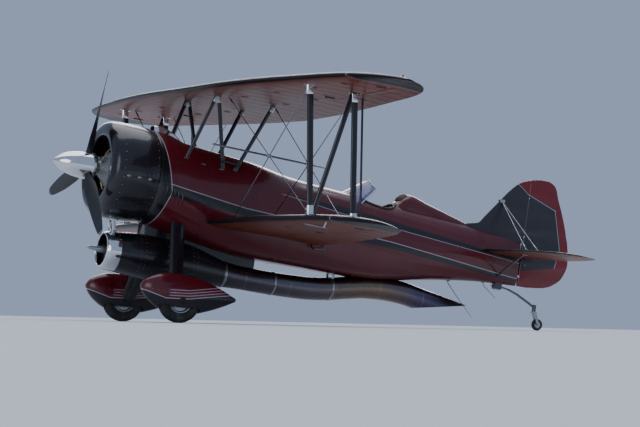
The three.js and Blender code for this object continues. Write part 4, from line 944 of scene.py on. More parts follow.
primer = finish("fuselage_paint", {"Specular IOR Level": 0.3}, "_inside")
primer.coat(primer.cloudy(9, (0.22, 0.26, 0.20, 1), (0.31, 0.35, 0.27, 1)), primer.grain(30) * 0.2 + 0.5,
            height=primer.grain(60, detail=3), depth=0.0006)
repaint(fuselage, primer, in_cabin)
print("fuselage:", len(fuselage.data.polygons), "faces")

# %% [markdown]
# Fin, rudder and tailplane are thin sections like a wing's, without camber. The fin's stations run
# upward. Rudder and elevators have round noses, with a steady gap between them and the fixed part.

# %% Tail surfaces
TAILPLANE = {"root": -0.17, "rise": 0.0, "camber": 0.0, "incidence": 0.0, "sections": np.array([
    [0.03, 5.94, 6.96, 0.056], [0.7, 6.04, 6.99, 0.052], [1.05, 6.13, 6.975, 0.046],
    [1.3, 6.24, 6.93, 0.037], [1.44, 6.37, 6.86, 0.026], [1.48, 6.44, 6.81, 0.019],
    [1.5, 6.53, 6.72, 0.012]])}
FIN = {"root": 0.0, "rise": 0.0, "camber": 0.0, "incidence": 0.0, "sections": np.array([
    [-0.558, 6.42, 6.7, 0.044], [-0.53, 6.42, 6.94, 0.05], [-0.49, 6.42, 7.06, 0.052],
    [-0.357, 6.42, 7.216, 0.054], [-0.177, 6.4, 7.2753, 0.056], [-0.02, 6.2, 7.262, 0.056],
    [0, 5.56, 7.256, 0.056], [0.13, 5.7, 7.225, 0.056], [0.176, 5.89, 7.206, 0.056],
    [0.263, 5.965, 7.18, 0.055], [0.49, 6.15, 7.092, 0.052], [0.672, 6.302, 7.01, 0.046],
    [0.77, 6.41, 6.975, 0.04], [0.815, 6.5, 6.945, 0.034], [0.85, 6.61, 6.89, 0.026],
    [0.864, 6.7, 6.85, 0.018]])}
POST, HINGE_X, HINGE_Z, NOSE = 6.585, 6.5, -0.17, 0.024
LUGS = (-0.43, 0.09, 0.6)


def half_thickness(section, x):
    """Half the thickness at x of a tail section given as (lead, trail, thickness)."""
    lead, trail, thickness = section
    top, bottom = rib(TAILPLANE, (x - lead) / (trail - lead), lead, trail, thickness)
    return (top - bottom) / 2


def nose_bar(start, end, grow):
    """A round bar along the elevators' hinge, as thick as the tailplane is there."""
    rings = []
    for span in np.linspace(start, end, 24):
        radius = half_thickness(flow(TAILPLANE["sections"], min(span, 1.49))[0], HINGE_X) + grow
        rings.append([(HINGE_X + radius * cos(a), span, HINGE_Z + radius * sin(a)) for a in turns(28)])
    return loft(rings)


def flap_skin(spec, hinge, spans, reach, steps=14):
    """The part of a section behind a hinge line, with a round nose in front of the line."""
    rings = []
    for span, section in zip(spans, flow(spec["sections"], spans)):
        lead, trail, _ = section
        front = max(hinge, lead + 0.02 * (trail - lead))
        half = half_thickness(section, front)
        bend = [(front - min(half, reach) * sin(a), half * cos(a)) for a in np.linspace(0, pi, 13)]
        back = [(x, half_thickness(section, x)) for x in np.linspace(front, trail, steps + 1)[1:]]
        ring = bend + [(x, -y) for x, y in back] + [(x, y) for x, y in back[-2::-1]]
        rings.append([(x, span, spec["root"] + y) for x, y in ring])
    return loft(rings)


def post(radius, low=-FAR, high=FAR):
    """A round bar along the rudder's hinge."""
    return loft([[(POST + radius * cos(a), radius * sin(a), z) for a in turns(32)] for z in (low, high)])


def lug_at(z):
    """An eye on the fin that a rudder pin turns in."""
    ring = lathe(even([(-0.009, 0.007), (-0.009, 0.015)]), "z", (POST, 0, z), 20)
    arm = box_between((POST - 0.105, -0.0105, z - 0.009), (POST - 0.008, 0.0105, z + 0.009))
    return together([arm, ring])


def standing(shape):
    """A shape drawn along a wing's span, stood upright."""
    return Shape(shape.corners[:, [0, 2, 1]], [face[::-1] for face in shape.faces])


whole_fin = standing(wing_skin(FIN, 90, 18))
fin = carved(whole_fin, box_between((0, -1, -2), (9, 1, 0.002)), box_between((POST, -1, -2), (9, 1, 2)),
             post(NOSE + GAP), solid_body)
piece("fin_skin", fin, tail_paint, stands_for=["fin"])
piece("rudder_eyes", [lug_at(at) for at in LUGS[1:]], steel)
FIN_FOOT, FIN_TALL = -0.558, 1.422
heights = FIN_FOOT + FIN_TALL * (1 - np.cos(np.linspace(0, pi, 81))) / 2
notches = [box_between((POST - 0.05, -1, at - 0.015), (POST + 0.018, 1, at + 0.015)) for at in LUGS]
rudder = carved(standing(flap_skin(FIN, POST, heights, NOSE)), *notches)
pins = [post(0.006, at - 0.018, at + 0.018) for at in LUGS]
piece("rudder_skin", [rudder, *pins], tail_paint, "rudder", stands_for=["rudder"])

tailplane = wing_skin(TAILPLANE, 60, 18)
stabilizer = carved(tailplane, box_between((HINGE_X, -1, -1), (9, 3, 1)), nose_bar(0.02, 1.6, GAP),
                    solid_body)
spans = 0.06 + 1.434 * np.sin(np.linspace(0, pi / 2, 60))
inner_edge = [(5, -1), (9, -1), (9, 0.41), (7.0, 0.41), (6.53, 0.092), (5, 0.092)]
elevator = carved(flap_skin(TAILPLANE, HINGE_X, spans, 1.0), upright(inner_edge))
for side, turn in SIDES:
    for node, shape in ((f"stabilizer_{side}", stabilizer), (f"elevator_{side}", elevator)):
        piece(node + "_skin", turn(shape), tail_cloth, body_of[node], stands_for=[node])
print("rudder:", len(rudder.faces), "faces")

# %% [markdown]
# A streamlined fairing runs back from the cockpit to the fin. The windshield is a cone-shaped pane,
# whose foot and top are parts of two ovals, under a thin rail.

# %% Headrest fairing and windshield
HEADREST = [[4.64, 0.226, 0.15], [4.83, 0.36, 0.132], [5.1, 0.292, 0.112], [5.4, 0.212, 0.084],
            [5.69, 0.134, 0.04], [5.74, 0.12, 0.014]]
stations = np.linspace(4.64, 5.74, 44)
rings = [[(x, half * power_of(cos(a), 0.85), top - (half + 0.03) * (1 - power_of(sin(a), 0.85)))
          for a in turns(72)] for x, (top, half) in zip(stations, flow(HEADREST, stations))]
fairing = carved(loft(rings), box_between((4, -1, -1), (6, 1, 0.06)), solid_body, whole_fin)
piece("headrest_fairing_skin", fairing, body_paint, stands_for=["headrest_fairing"])
FOOT, TOP = (3.83, 0.282, 0.19), (4.235, 0.15, 0.452)
ARC, OVAL, BELOW_DECK = 1.25, 1.525, -0.45


def pane_point(angle, share, out=0.0):
    """A point of the windshield: an angle round it, a share of the way up and a distance outward."""
    low, high = (np.array([front + OVAL * (half - (half + out) * cos(angle)), (half + out) * sin(angle), z])
                 for front, half, z in (FOOT, TOP))
    return low + share * (high - low)


def pane_height(angle):
    """The share of the way up at which the pane ends: lower at the sides."""
    return 1 - 0.45 * (1 - cos(angle)) / (1 - cos(ARC))


angles = np.linspace(-ARC, ARC, 49)
pane = loft([[pane_point(a, BELOW_DECK, 0.005), pane_point(a, pane_height(a), 0.005),
              pane_point(a, pane_height(a)), pane_point(a, BELOW_DECK)] for a in angles])
piece("windshield_glass_skin", carved(pane, solid_body), glass, sharp=50, stands_for=["windshield_glass"])
port, starboard = -ARC - 0.012, ARC + 0.012
rail = [pane_point(a, pane_height(a) + 0.008, 0.0025) for a in (port, *angles, starboard)]
rail = [pane_point(port, -0.4, 0.0025), *rail, pane_point(starboard, -0.4, 0.0025)]
piece("windshield_rail", carved(tube(rail, 0.007, 14), solid_body), steel, stands_for=["windshield_frame"])
print("fairing:", len(fairing.faces), "faces")

# %% [markdown]
# Rivets hold the metal panels of the nose. Each row follows a seam, a fixed step apart along the
# curve of the skin, and all of them together are one piece.

# %% Rivets, seams and panels on the body


def around(x, spacing):
    """Angles a fixed distance apart round the skin."""
    angles = np.linspace(0, 2 * pi, 400)
    points = np.array([skin_point(x, a) for a in angles])
    reach = np.r_[0, np.cumsum(np.linalg.norm(np.diff(points, axis=0), axis=1))]
    return np.interp(np.arange(spacing / 2, reach[-1], spacing), reach, angles)


rivets = [screw(skin_point(x, a), skin_normal(x, a), 0.0042, 0.0016)
          for at in SEAMS for x in (at - 0.014, at + 0.014) for a in around(x, 0.052)]
piece("body_rivets", rivets, body_paint)
latches = [block((0.07, 0.022, 0.008), 0.3).moved(facing(skin_point(x, a, 0.002), skin_normal(x, a)))
           for x in (1.55, 1.8, 2.05) for a in (radians(38), radians(142))]
piece("panel_latches", latches, steel)


def scoop_louvre(x, angle, length=0.15, height=0.016):
    """A pressed louvre: a half-open blister in the side panel."""
    rings = []
    for share in np.linspace(0, 1, 10):
        lift = height * sin(pi * min(share * 1.2, 1) ** 0.8)
        ring, out = [], np.array(skin_normal(x, angle))
        for step in np.linspace(0, 1, 9):
            point = skin_point(x + share * 0.035, angle + (step - 0.5) * length / 0.5)
            ring.append(point + out * (lift * sin(pi * step) ** 0.5 + 0.0006))
        rings.append(ring)
    return sheet(rings)


louvres = [scoop_louvre(1.30 + 0.055 * i, radians(at)) for i in range(5) for at in (-14, 194)]
piece("side_louvres", louvres, body_paint)
cap_height = deck_height(2.2, 0)
fuel_cap = set_on((2.2, 0, cap_height), (0.1, 0, 1), [
    (-0.004, 0.05), (0.004, 0.05), (0.007, 0.045), (0.007, 0.012), (0.016, 0.01), (0.018, 0)], 32)
grip = block((0.07, 0.01, 0.012), 0.3).moved(facing((2.2, 0, cap_height + 0.013), (0.1, 0, 1)))
piece("fuel_cap", [fuel_cap, grip], chrome)
piece("rudder_lug", lug_at(LUGS[0]), steel)
step = smooth_path([(3.36, -0.44, -0.5), (3.36, -0.5, -0.56), (3.4, -0.51, -0.575), (3.5, -0.51, -0.575),
                    (3.54, -0.5, -0.56), (3.54, -0.44, -0.5)], 22)
piece("boarding_step", tube(step, 0.009), strut_paint)
antennas = [tube([(5.55, 0.0, -0.62), (5.57, 0.0, -0.67), (5.78, 0.0, -0.88), (5.97, 0.0, -1.05)],
                 [0.006, 0.005, 0.0035, 0.0025]),
            tube([(6.08, 0.03, -0.56), (6.1, 0.03, -0.62), (6.3, 0.03, -0.76)], [0.005, 0.0045, 0.003]),
            block((0.09, 0.035, 0.012), 0.3).shifted(5.55, 0, -0.64),
            block((0.06, 0.03, 0.01), 0.3).shifted(6.08, 0.03, -0.582)]
piece("whip_antennas", antennas, spring_steel)
print(len(rivets), "rivets")

# %% [markdown]
# The cowling is one turned ring with a rolled lip. Screws hold its halves, and three toggle latches
# on each side close the seam.

# %% Cowling
COWLING = [(1.185, 0.578), (1.005, 0.598), (0.815, 0.6), (0.725, 0.595), (0.645, 0.58), (0.598, 0.54),
           (0.577, 0.478), (0.585, 0.415), (0.61, 0.404), (0.65, 0.43), (0.725, 0.54), (0.835, 0.586),
           (1.005, 0.584), (1.185, 0.564)]
outer = smooth_path(COWLING[:10], 60).tolist()
inner = smooth_path(COWLING[9:], 20).tolist()[1:]
piece("cowling_shell", lathe([*outer, *inner, outer[0]], segments=112), cowl_paint,
      stands_for=["cowling"], sharp=50)


def ring_of(count, x, radius, head=0.005, lean=0.0, offset=0.0):
    return [screw((x, radius * cos(a), radius * sin(a)), (lean, cos(a), sin(a)), head)
            for a in turns(count) + offset]


cowl_screws = ring_of(36, 0.722, 0.5948, 0.0045, -0.1) + ring_of(36, 1.16, 0.5805, 0.0045, 0.1)
piece("cowl_screws", cowl_screws, steel)
SPLIT = radians(-8)
toggles = []
for sign in (-1, 1):
    for x in (0.78, 0.92, 1.06):
        normal = Vector((0, sign * cos(SPLIT), sin(SPLIT)))
        place = Vector((x, 0, 0)) + normal * (0.601 if x < 1 else 0.597)
        bow = [place + Vector((0, 0, -0.02)), place + normal * 0.008, place + Vector((0, 0, 0.02))]
        toggles += [block((0.05, 0.016, 0.01), 0.3).moved(facing(place, normal)), tube(bow, 0.004)]
piece("cowl_latches", toggles, steel)
splits = [tube([(x, sign * 0.6005 * cos(SPLIT), 0.6 * sin(SPLIT)) for x in (0.70, 0.85, 1.0)], 0.0022)
          for sign in (-1, 1)]
piece("cowl_split_beading", splits, cowl_paint)
print("cowling screws:", len(cowl_screws))

# %% [markdown]
# A radial engine is nine finned cylinders round a crankcase. One cylinder is turned on a lathe with
# its fins in the profile, then copied round the crankshaft.

# %% Engine


def fins(start, end, count, root, tip):
    """A turned profile that goes in and out."""
    points, pitch = [], (end - start) / count
    for i in range(count):
        at = start + i * pitch
        points += [(at, root), (at + pitch * 0.35, root), (at + pitch * 0.4, tip), (at + pitch * 0.95, tip)]
    return [*points, (end, root)]


barrel = lathe([(0.2, 0.05), (0.2, 0.088), (0.232, 0.088), *fins(0.236, 0.4, 13, 0.064, 0.08)], "z",
               segments=28)
head = lathe([*fins(0.4, 0.53, 9, 0.078, 0.097), (0.54, 0.07), (0.545, 0)], "z", segments=28)
ROCKERS = (-0.035, 0.035)
boxes = [block((0.062, 0.055, 0.04), 0.25).shifted(-0.05, y, 0.548) for y in ROCKERS]
box_screws = [screw((x, y, 0.568), (0, 0, 1), 0.005, 0.003) for y in ROCKERS for x in (-0.07, -0.03)]
rods = [tube([(-0.13, y * 0.8, 0.215), (-0.075, y, 0.535)], 0.0085, 12) for y in ROCKERS]
collars = [set_on((-0.13, y * 0.8, 0.215), (0.055, y * 0.2, 0.32), [
    (0, 0.013), (0.022, 0.013), (0.026, 0.009), (0.026, 0)], 14) for y in ROCKERS]
spark = tube([(-0.07, -0.012, 0.46), (-0.115, -0.012, 0.468), (-0.13, -0.0108, 0.46)],
             [0.009, 0.008, 0.006])
lead_wire = tube(smooth_path([(-0.13, -0.011, 0.46), (-0.15, 0.0, 0.42), (-0.16, 0.02, 0.34),
                              (-0.165, 0.03, 0.27)], 14), 0.0045, 8)
cylinder = together([barrel, head, *boxes])
spokes = [Matrix.Translation((0.9, 0, 0)) @ Matrix.Rotation(a, 4, "X") for a in turns(9)]
crankcase = lathe([(0.561, 0), (0.561, 0.07), (0.568, 0.078), (0.6, 0.092), (0.62, 0.11), (0.66, 0.15),
                   (0.705, 0.192), (0.712, 0.212), (0.722, 0.212), (0.728, 0.205), (0.76, 0.232),
                   (0.8, 0.235), (1.1497, 0.235), (1.1497, 0)], segments=72)
piece("radial_engine_body", [crankcase, *(cylinder.moved(spoke) for spoke in spokes)], engine_metal,
      stands_for=["radial_engine"], sharp=30)
piece("pushrod_tubes", [part.moved(spoke) for spoke in spokes for part in rods + collars], steel)


def face_nuts(count, x, radius, head, height):
    """A ring of nuts that face forward."""
    return [screw((x, radius * cos(a), radius * sin(a)), (-1, 0, 0), head, height) for a in turns(count)]


nuts = (ring_of(18, 0.7165, 0.2115, 0.008) + face_nuts(24, 0.7125, 0.2, 0.007, 0.007)
        + face_nuts(12, 0.5635, 0.06, 0.006, 0.005))
nuts += [nut.moved(spoke) for spoke in spokes for nut in box_screws]
piece("engine_nuts", nuts, steel)
bends = [(0.735 + 0.011 * cos(b), 0.262 + 0.011 * sin(b)) for b in turns(12)]
harness = loft([[(x, r * cos(a), r * sin(a)) for x, r in bends] for a in turns(72)], looped=True)
wires = [part.moved(spoke) for spoke in spokes for part in (spark, lead_wire)]
piece("ignition_harness", [harness, *wires], brass)
magneto = lathe([(0.6, 0), (0.6, 0.03), (0.607, 0.036), (0.67, 0.036), (0.68, 0.042), (0.72, 0.042)],
                segments=28)
governor = [magneto.shifted(0, 0.13 * cos(a), 0.13 * sin(a)) for a in (radians(55), radians(125))]
sump = block((0.2, 0.12, 0.12), 0.25).shifted(0.86, 0, -0.25)
piece("magnetos", [*governor, sump], engine_metal)
print("engine: 9 cylinders,", len(fins(0, 1, 22, 0, 1)) // 4, "fins each")

# %% [markdown]
# The polished spinner hides the hub. Each blade comes out through its own round hole, twists less
# towards the tip, and has a thicker front half than its rear half.

# %% Spinner and blades
SPINNER = [(0, 0), (0.003, 0.009), (0.01, 0.018), (0.05, 0.056), (0.11, 0.098), (0.18, 0.128),
           (0.27, 0.150), (0.38, 0.162), (0.522, 0.168)]
BLADE = [[0.075, 0.08, 0.08, 62], [0.19, 0.084, 0.076, 60], [0.26, 0.128, 0.046, 52],
         [0.45, 0.172, 0.027, 38], [0.7, 0.176, 0.019, 28], [0.95, 0.15, 0.013, 22],
         [1.12, 0.112, 0.009, 19], [1.19, 0.07, 0.006, 18], [1.21, 0.03, 0.005, 18]]
BLADE_ANGLES = [15.5, -104.5, -224.5]
hub_turns = [Matrix.Translation((0.43, 0, 0)) @ Matrix.Rotation(radians(a), 4, "X") for a in BLADE_ANGLES]
dome = smooth_path(SPINNER, 48).tolist()
lining = [(x + 0.006, r - 0.008) for x, r in dome[::-1] if r > 0.03]
shell = lathe([*dome, *lining, (0.03, 0)], segments=96)
holes = [lathe([(0.1, 0), (0.1, 0.062), (0.32, 0.062), (0.32, 0)], "z", segments=48).moved(turn)
         for turn in hub_turns]
piece("spinner_shell", carved(shell, *holes), chrome, "propeller", stands_for=["spinner"])
piece("spinner_screws", ring_of(24, 0.5, 0.1668, 0.0045) + ring_of(12, 0.36, 0.1604, 0.0035, -0.08, 0.13),
      steel, "propeller")


def blade():
    """A twisted blade that goes from a round root to a thin section with a fuller front."""
    rings = []
    distances = np.linspace(0.075, 1.21, 48)
    for distance, (chord, thickness, twist) in zip(distances, flow(BLADE, distances)):
        c, s, flat = cos(radians(twist)), sin(radians(twist)), np.clip((distance - 0.15) / 0.15, 0, 1)
        ring = []
        for a in turns(32):
            edge = power_of(sin(a), 1 + 0.5 * flat)
            across, off = chord / 2 * cos(a), thickness / 2 * edge * (1 + 0.25 * flat * cos(a))
            ring.append((across * s + off * c, across * c - off * s, distance))
        rings.append(ring)
    return loft(rings)


collar = lathe([(0.135, 0.045), (0.14, 0.054), (0.158, 0.054), (0.163, 0.045), (0.135, 0.045)], "z",
               segments=36)
for number, turn in enumerate(hub_turns, 1):
    piece(f"blade_{number}", blade().moved(turn), blade_paint, "propeller",
          stands_for=[f"propeller_blade_{number}"])
    piece(f"blade_collar_{number}", collar.moved(turn), steel, "propeller")
print("blades at", BLADE_ANGLES, "degrees")

# %% [markdown]
# The jet hangs under the belly: a polished intake lip, a smooth nacelle, and a long pipe that swings
# up behind the wing and ends in a slanted cut. Each is a wall with an inside, not a solid.

# %% Jet nacelle, intake and pipe
JET = (0, 0, -0.98)
NACELLE = [(0.9603, -0.98, 0.246), (1.25, -0.984, 0.274), (1.6, -0.994, 0.284), (1.9, -1.005, 0.268),
           (2.15, -1.019, 0.222), (2.38, -1.032, 0.168)]
PIPE = [(2.3803, -1.032, 0.168), (2.7, -1.046, 0.146), (3.1, -1.05, 0.146), (3.5, -1.042, 0.146),
        (3.85, -1.006, 0.146), (4.15, -0.948, 0.146), (4.43, -0.9, 0.146), (4.7, -0.886, 0.146),
        (4.9, -0.894, 0.146), (5.1, -0.922, 0.146), (5.5, -0.994, 0.146), (5.96, -1.08, 0.146)]


def pipe_rings(table, change, count, past=0.0):
    """Upright rings along a pipe's table of (x, height, radius)."""
    where = np.linspace(table[0][0], table[-1][0], count)
    shift = np.r_[-past, np.zeros(count - 2), past]
    return [[(x + dx, (r + change) * cos(a), z + (r + change) * sin(a)) for a in turns(72)]
            for x, dx, (z, r) in zip(where, shift, flow(table, where))]


def walled(table, wall, count):
    """A pipe with a wall: rings along the outside and back along the inside."""
    return loft(pipe_rings(table, 0, count) + pipe_rings(table, -wall, count)[::-1], looped=True)


piece("jet_nacelle_shell", walled(NACELLE, 0.016, 40), nacelle_paint, stands_for=["jet_nacelle"])
CUT_X, CUT_Z, BEYOND = 5.095, -1.064, 6.6
slope = (-0.92 - CUT_Z) / (5.86 - CUT_X)
wedge = loft([[(CUT_X, y, CUT_Z), (BEYOND, y, CUT_Z + (BEYOND - CUT_X) * slope), (BEYOND, y, -1.6),
               (CUT_X, y, -1.6)] for y in (-0.3, 0.3)])
piece("jet_tailpipe_shell", carved(walled(PIPE, 0.009, 96), wedge, solid_body), pipe_metal,
      stands_for=["jet_tailpipe"])
LIP = [(0.96, 0.246), (0.9, 0.242), (0.835, 0.232), (0.798, 0.218), (0.781, 0.206), (0.78, 0.2),
       (0.788, 0.195), (0.83, 0.19), (0.9, 0.202), (0.96, 0.228)]
lip = smooth_path(LIP, 56).tolist()
piece("jet_intake_lip", lathe([*lip, lip[0]], "x", JET, 96), chrome, sharp=60,
      stands_for=["jet_intake_ring"])
BULLET = [(0.58, 0), (0.583, 0.005), (0.592, 0.01), (0.68, 0.026), (0.77, 0.04), (0.91, 0.052),
          (1.2497, 0.068)]
bullet = lathe([*smooth_path(BULLET, 40).tolist(), (1.2497, 0)], "x", JET, 56)
piece("jet_bullet", bullet, steel, stands_for=["jet_intake_bullet"])


def vane(x, inner, outer, chord, lean, angle, thick=0.004):
    """One thin blade of a fan, standing out from the jet's axis."""
    rings = []
    for radius in np.linspace(inner, outer, 5):
        turn = radians(lean + 14 * (radius - inner) / (outer - inner))
        c, s = cos(turn), sin(turn)
        flat = [(chord / 2 * cos(a), thick / 2 * sin(a)) for a in turns(12)]
        rings.append([(x + along * c + across * s, along * s - across * c, radius)
                      for along, across in flat])
    return loft(rings).moved(Matrix.Translation(JET) @ Matrix.Rotation(angle, 4, "X"))


guide_vanes = [vane(1.16, 0.06, 0.236, 0.05, 0, a, 0.009) for a in turns(8)]
fan = [vane(1.215, 0.062, 0.225, 0.034, 48, a) for a in turns(26)]
case = lathe([(1.19, 0.228), (1.19, 0.249), (1.249, 0.252), (1.249, 0.19), (1.24, 0.19), (1.232, 0.228),
              (1.19, 0.228)], "x", JET, 64)
piece("jet_compressor", [*guide_vanes, *fan, case], steel)
print("compressor:", len(guide_vanes), "guide vanes and", len(fan), "blades")

# %% [markdown]
# A faired pylon fills the space between the belly and the jet. It is a column with a leaf-shaped
# plan, cut to fit the three curved skins it meets.

# %% Pylon, brackets, clamps and screws of the jet
PLAN = [[1.23, 0.02], [1.3, 0.062], [1.6, 0.092], [2.1, 0.084], [2.5, 0.056], [2.83, 0.014]]
stations = np.linspace(PLAN[0][0], PLAN[-1][0], 40)
edge = list(zip(stations, flow(PLAN, stations)[:, 0]))
column = upright([(1.222, 0), *edge, (2.836, 0), *[(x, -y) for x, y in edge[::-1]]], -0.96, -0.4)
piece("jet_pylon_skin", carved(column, solid_body, loft(pipe_rings(NACELLE, 0.0004, 40, 0.0003)),
                               loft(pipe_rings(PIPE[:5], 0.0004, 30))), nacelle_paint,
      stands_for=["jet_pylon"])


def oval_bar(start, end, wide, thin, sides=20, ends=(1, 1)):
    """A faired bar: wide along the airflow, thin across it. Ends may be drawn in."""
    start, end = Vector(start), Vector(end)
    axis = (end - start).normalized()
    lead = Vector((0, 0, 1)) if abs(axis.x) > 0.9 else Vector((1, 0, 0))
    chord = (lead - axis * axis.dot(lead)).normalized()
    across = axis.cross(chord)
    rings = []
    for share in (0, 0.08, 0.5, 0.92, 1):
        size = np.interp(share, (0, 0.08, 0.92, 1), (ends[0], 1, 1, ends[1]))
        centre = start.lerp(end, share)
        rings.append([centre + chord * (wide / 2 * size * cos(a)) + across * (thin / 2 * size * sin(a))
                      for a in turns(sides)])
    return loft(rings)


bracket = [oval_bar((0.86, y, -0.592), (0.91, y * 0.4, -0.742), 0.05, 0.012) for y in (-0.07, 0.07)]
bracket += [block((0.1, 0.2, 0.012), 0.25).shifted(0.87, 0, -0.6),
            block((0.09, 0.1, 0.012), 0.25).shifted(0.915, 0, -0.736)]
bracket += [screw((x, y, -0.607), (0, 0, -1), 0.007, 0.005) for x in (0.84, 0.9) for y in (-0.085, 0.085)]
piece("cowl_to_jet_bracket", bracket, chrome)
ring_screws = [shape.shifted(*JET) for shape in ring_of(20, 0.948, 0.2458, 0.0035)]
seam_screws = []
for x in (1.22, 1.28, 1.57, 1.63, 1.92, 1.98):
    (z, r), = flow(NACELLE, x)
    seam_screws += [shape.shifted(0, 0, z) for shape in ring_of(30, x, r + 0.0004, 0.0035)]
piece("nacelle_screws", ring_screws + seam_screws, steel)


def clamp(x, width, proud, bolt_angle):
    """A band clamp round the pipe, with its tension bolt."""
    (z, r), = flow(PIPE, x)
    band = lathe(even([(-width / 2, r), (-width / 2, r + proud)]), "x", (x, 0, z), 72)
    out = Vector((0, cos(bolt_angle), sin(bolt_angle)))
    place = Vector((x, 0, z)) + out * (r + proud + 0.008)
    along = Vector((0, -sin(bolt_angle), cos(bolt_angle)))
    bolt = tube([place - along * 0.03, place + along * 0.03], 0.005, 8)
    blocks = [block((width * 0.8, 0.012, 0.022), 0.2).moved(facing(place + along * t, out))
              for t in (-0.014, 0.014)]
    return together([band, bolt, *blocks])


clamps = [clamp(x, width, proud, radians(200))
          for x, width, proud in ((2.41, 0.03, 0.005), (3.1, 0.024, 0.004), (3.9, 0.024, 0.004))]
piece("tailpipe_clamps", clamps, steel)
hanger = [oval_bar((3.9, y, -0.79), (3.9, y * 0.8, -0.87), 0.03, 0.01) for y in (-0.1, 0.1)]
hanger += [block((0.05, 0.24, 0.008), 0.2).shifted(3.9, 0, -0.812)]
piece("tailpipe_hanger", hanger, steel)
print("jet screws:", len(ring_screws) + len(seam_screws))

# %% [markdown]
# The wheels hide in teardrop fairings. A fairing is lofted along its length, and the wheel well is
# cut out of it with a little room all round the tyre.

# %% Wheel fairings
HUB_X, HUB_Y, HUB_Z = 1.52, 0.925, -1.5
WHEEL, AXLE, FAIRING_HALF = (HUB_X, HUB_Y, HUB_Z), (HUB_X, 0, HUB_Z), 0.125
FAIRING = [[1.0, -1.372, -1.412, 0.18], [1.04, -1.308, -1.476, 0.5], [1.13, -1.244, -1.558, 0.78],
           [1.28, -1.196, -1.634, 0.96], [1.48, -1.18, -1.664, 1], [1.7, -1.196, -1.642, 0.93],
           [1.9, -1.24, -1.58, 0.74], [2.1, -1.308, -1.492, 0.44], [2.25, -1.372, -1.412, 0.14]]


well = lathe([(0.834, 0), (0.834, 0.222), (0.85, 0.255), (0.872, 0.286), (0.978, 0.286), (1.0, 0.255),
              (1.016, 0.222), (1.016, 0)], "y", AXLE, 72)
mouth = box_between((1.35, 0.834, -1.9), (1.69, 1.016, HUB_Z))
bore = lathe([(0.7, 0), (0.7, 0.0255), (1.1, 0.0255), (1.1, 0)], "y", AXLE, 32)
stations = np.linspace(1, 2.25, 56)
rings = [[(x, HUB_Y + FAIRING_HALF * share * cos(a), (top + bottom) / 2 + (top - bottom) / 2 * sin(a))
          for a in turns(44)] for x, (top, bottom, share) in zip(stations, flow(FAIRING, stations))]
spat = carved(loft(rings), well, mouth, bore)


def in_shade_painted_well(x, y, z):
    """Faces of the well, painted black as painted shade: those that lie well inside the fairing's own skin.
    """
    if not 1.2 < x < 1.84:
        return False
    (top, bottom, share), = flow(FAIRING, x)
    across, up = (abs(y) - HUB_Y) / (FAIRING_HALF * share), (2 * z - top - bottom) / (top - bottom)
    return hypot(across, up) < 0.985


axle_cap = lathe([(1.0, 0.02), (1.0, 0.04), (1.05, 0.04), (1.056, 0.034), (1.058, 0.016), (1.058, 0)], "y",
                 AXLE, 40)
cap_screws = [screw((HUB_X + 0.028 * cos(a), 1.0565, HUB_Z + 0.028 * sin(a)), (0, 1, 0), 0.0035)
              for a in turns(6)]
spat_screws, SPLIT_HEIGHT = [], -1.41
for x in np.linspace(1.12, 2.1, 15):
    (top, bottom, share), = flow(FAIRING, x)
    height = (SPLIT_HEIGHT - (top + bottom) / 2) / ((top - bottom) / 2)
    if abs(height) < 0.95 and abs(x - HUB_X) > 0.06:
        reach = FAIRING_HALF * share * (1 - height**2) ** 0.5
        spat_screws += [screw((x, HUB_Y + s * reach, SPLIT_HEIGHT), (0, s, 0), 0.0035) for s in (-1, 1)]
for side, turn in SIDES:
    made = piece(f"wheel_fairing_{side}", turn(spat), spat_paint, stands_for=[f"wheel_spat_{side}"])
    # The well's faces take black panel paint as painted shade.
    repaint(made, panel_paint, in_shade_painted_well)
    piece(f"axle_cap_{side}", turn(together([axle_cap, *cap_screws])), panel_paint)
    piece(f"fairing_screws_{side}", turn(together(spat_screws)), steel)
print("fairing:", len(spat.faces), "faces")

# %% [markdown]
# Aircraft tyres have straight grooves and no blocks. The grooves are notches in the turned profile.

# %% Tyres, wheels and tail wheel


def tyre_profile(radius, half, rim, grooves):
    """A round-shouldered section with grooves cut in its tread."""
    side = [(half * 0.62, rim), (half * 0.8, rim + 0.012), (half * 0.97, rim + (radius - rim) * 0.38),
            (half, rim + (radius - rim) * 0.5), (half * 0.95, rim + (radius - rim) * 0.72),
            (half * 0.8, radius - 0.021), (half * 0.62, radius - 0.0075)]
    tread = [(half * 0.36, radius - 0.0005)]
    for at in grooves:
        tread += [(at + 0.0035, radius), (at + 0.0028, radius - 0.007), (at - 0.0028, radius - 0.007),
                  (at - 0.0035, radius)]
    return even([*side, *tread])


tyre_shape = lathe(tyre_profile(0.27, 0.075, 0.152, (0.021, 0.0075)), "y", WHEEL, 96)
rim_shape = lathe(even([
    (-0.058, 0.0262), (-0.062, 0.046), (-0.03, 0.06), (-0.022, 0.09), (-0.026, 0.126), (-0.048, 0.14),
    (-0.05, 0.1515), (-0.044, 0.1518), (-0.036, 0.146)]), "y", WHEEL, 72)
wheel_nuts = [screw((HUB_X + 0.075 * cos(a), HUB_Y + s * 0.0245, HUB_Z + 0.075 * sin(a)), (0, s, 0),
                    0.007, 0.006) for a in turns(8) for s in (-1, 1)]
valve = tube([(HUB_X, 0.955, HUB_Z + 0.115), (HUB_X, 0.978, HUB_Z + 0.118)], [0.004, 0.0025], 8)
for side, turn in SIDES:
    body = f"wheel_{side}"
    piece(f"tyre_{side}", turn(tyre_shape), rubber, body, stands_for=[f"main_tyre_{side}"])
    piece(f"wheel_rim_{side}", turn(together([rim_shape, *wheel_nuts, valve])), wheel_metal, body,
          stands_for=[f"main_wheel_{side}"])
TAIL = (6.94, 0, -1.012)
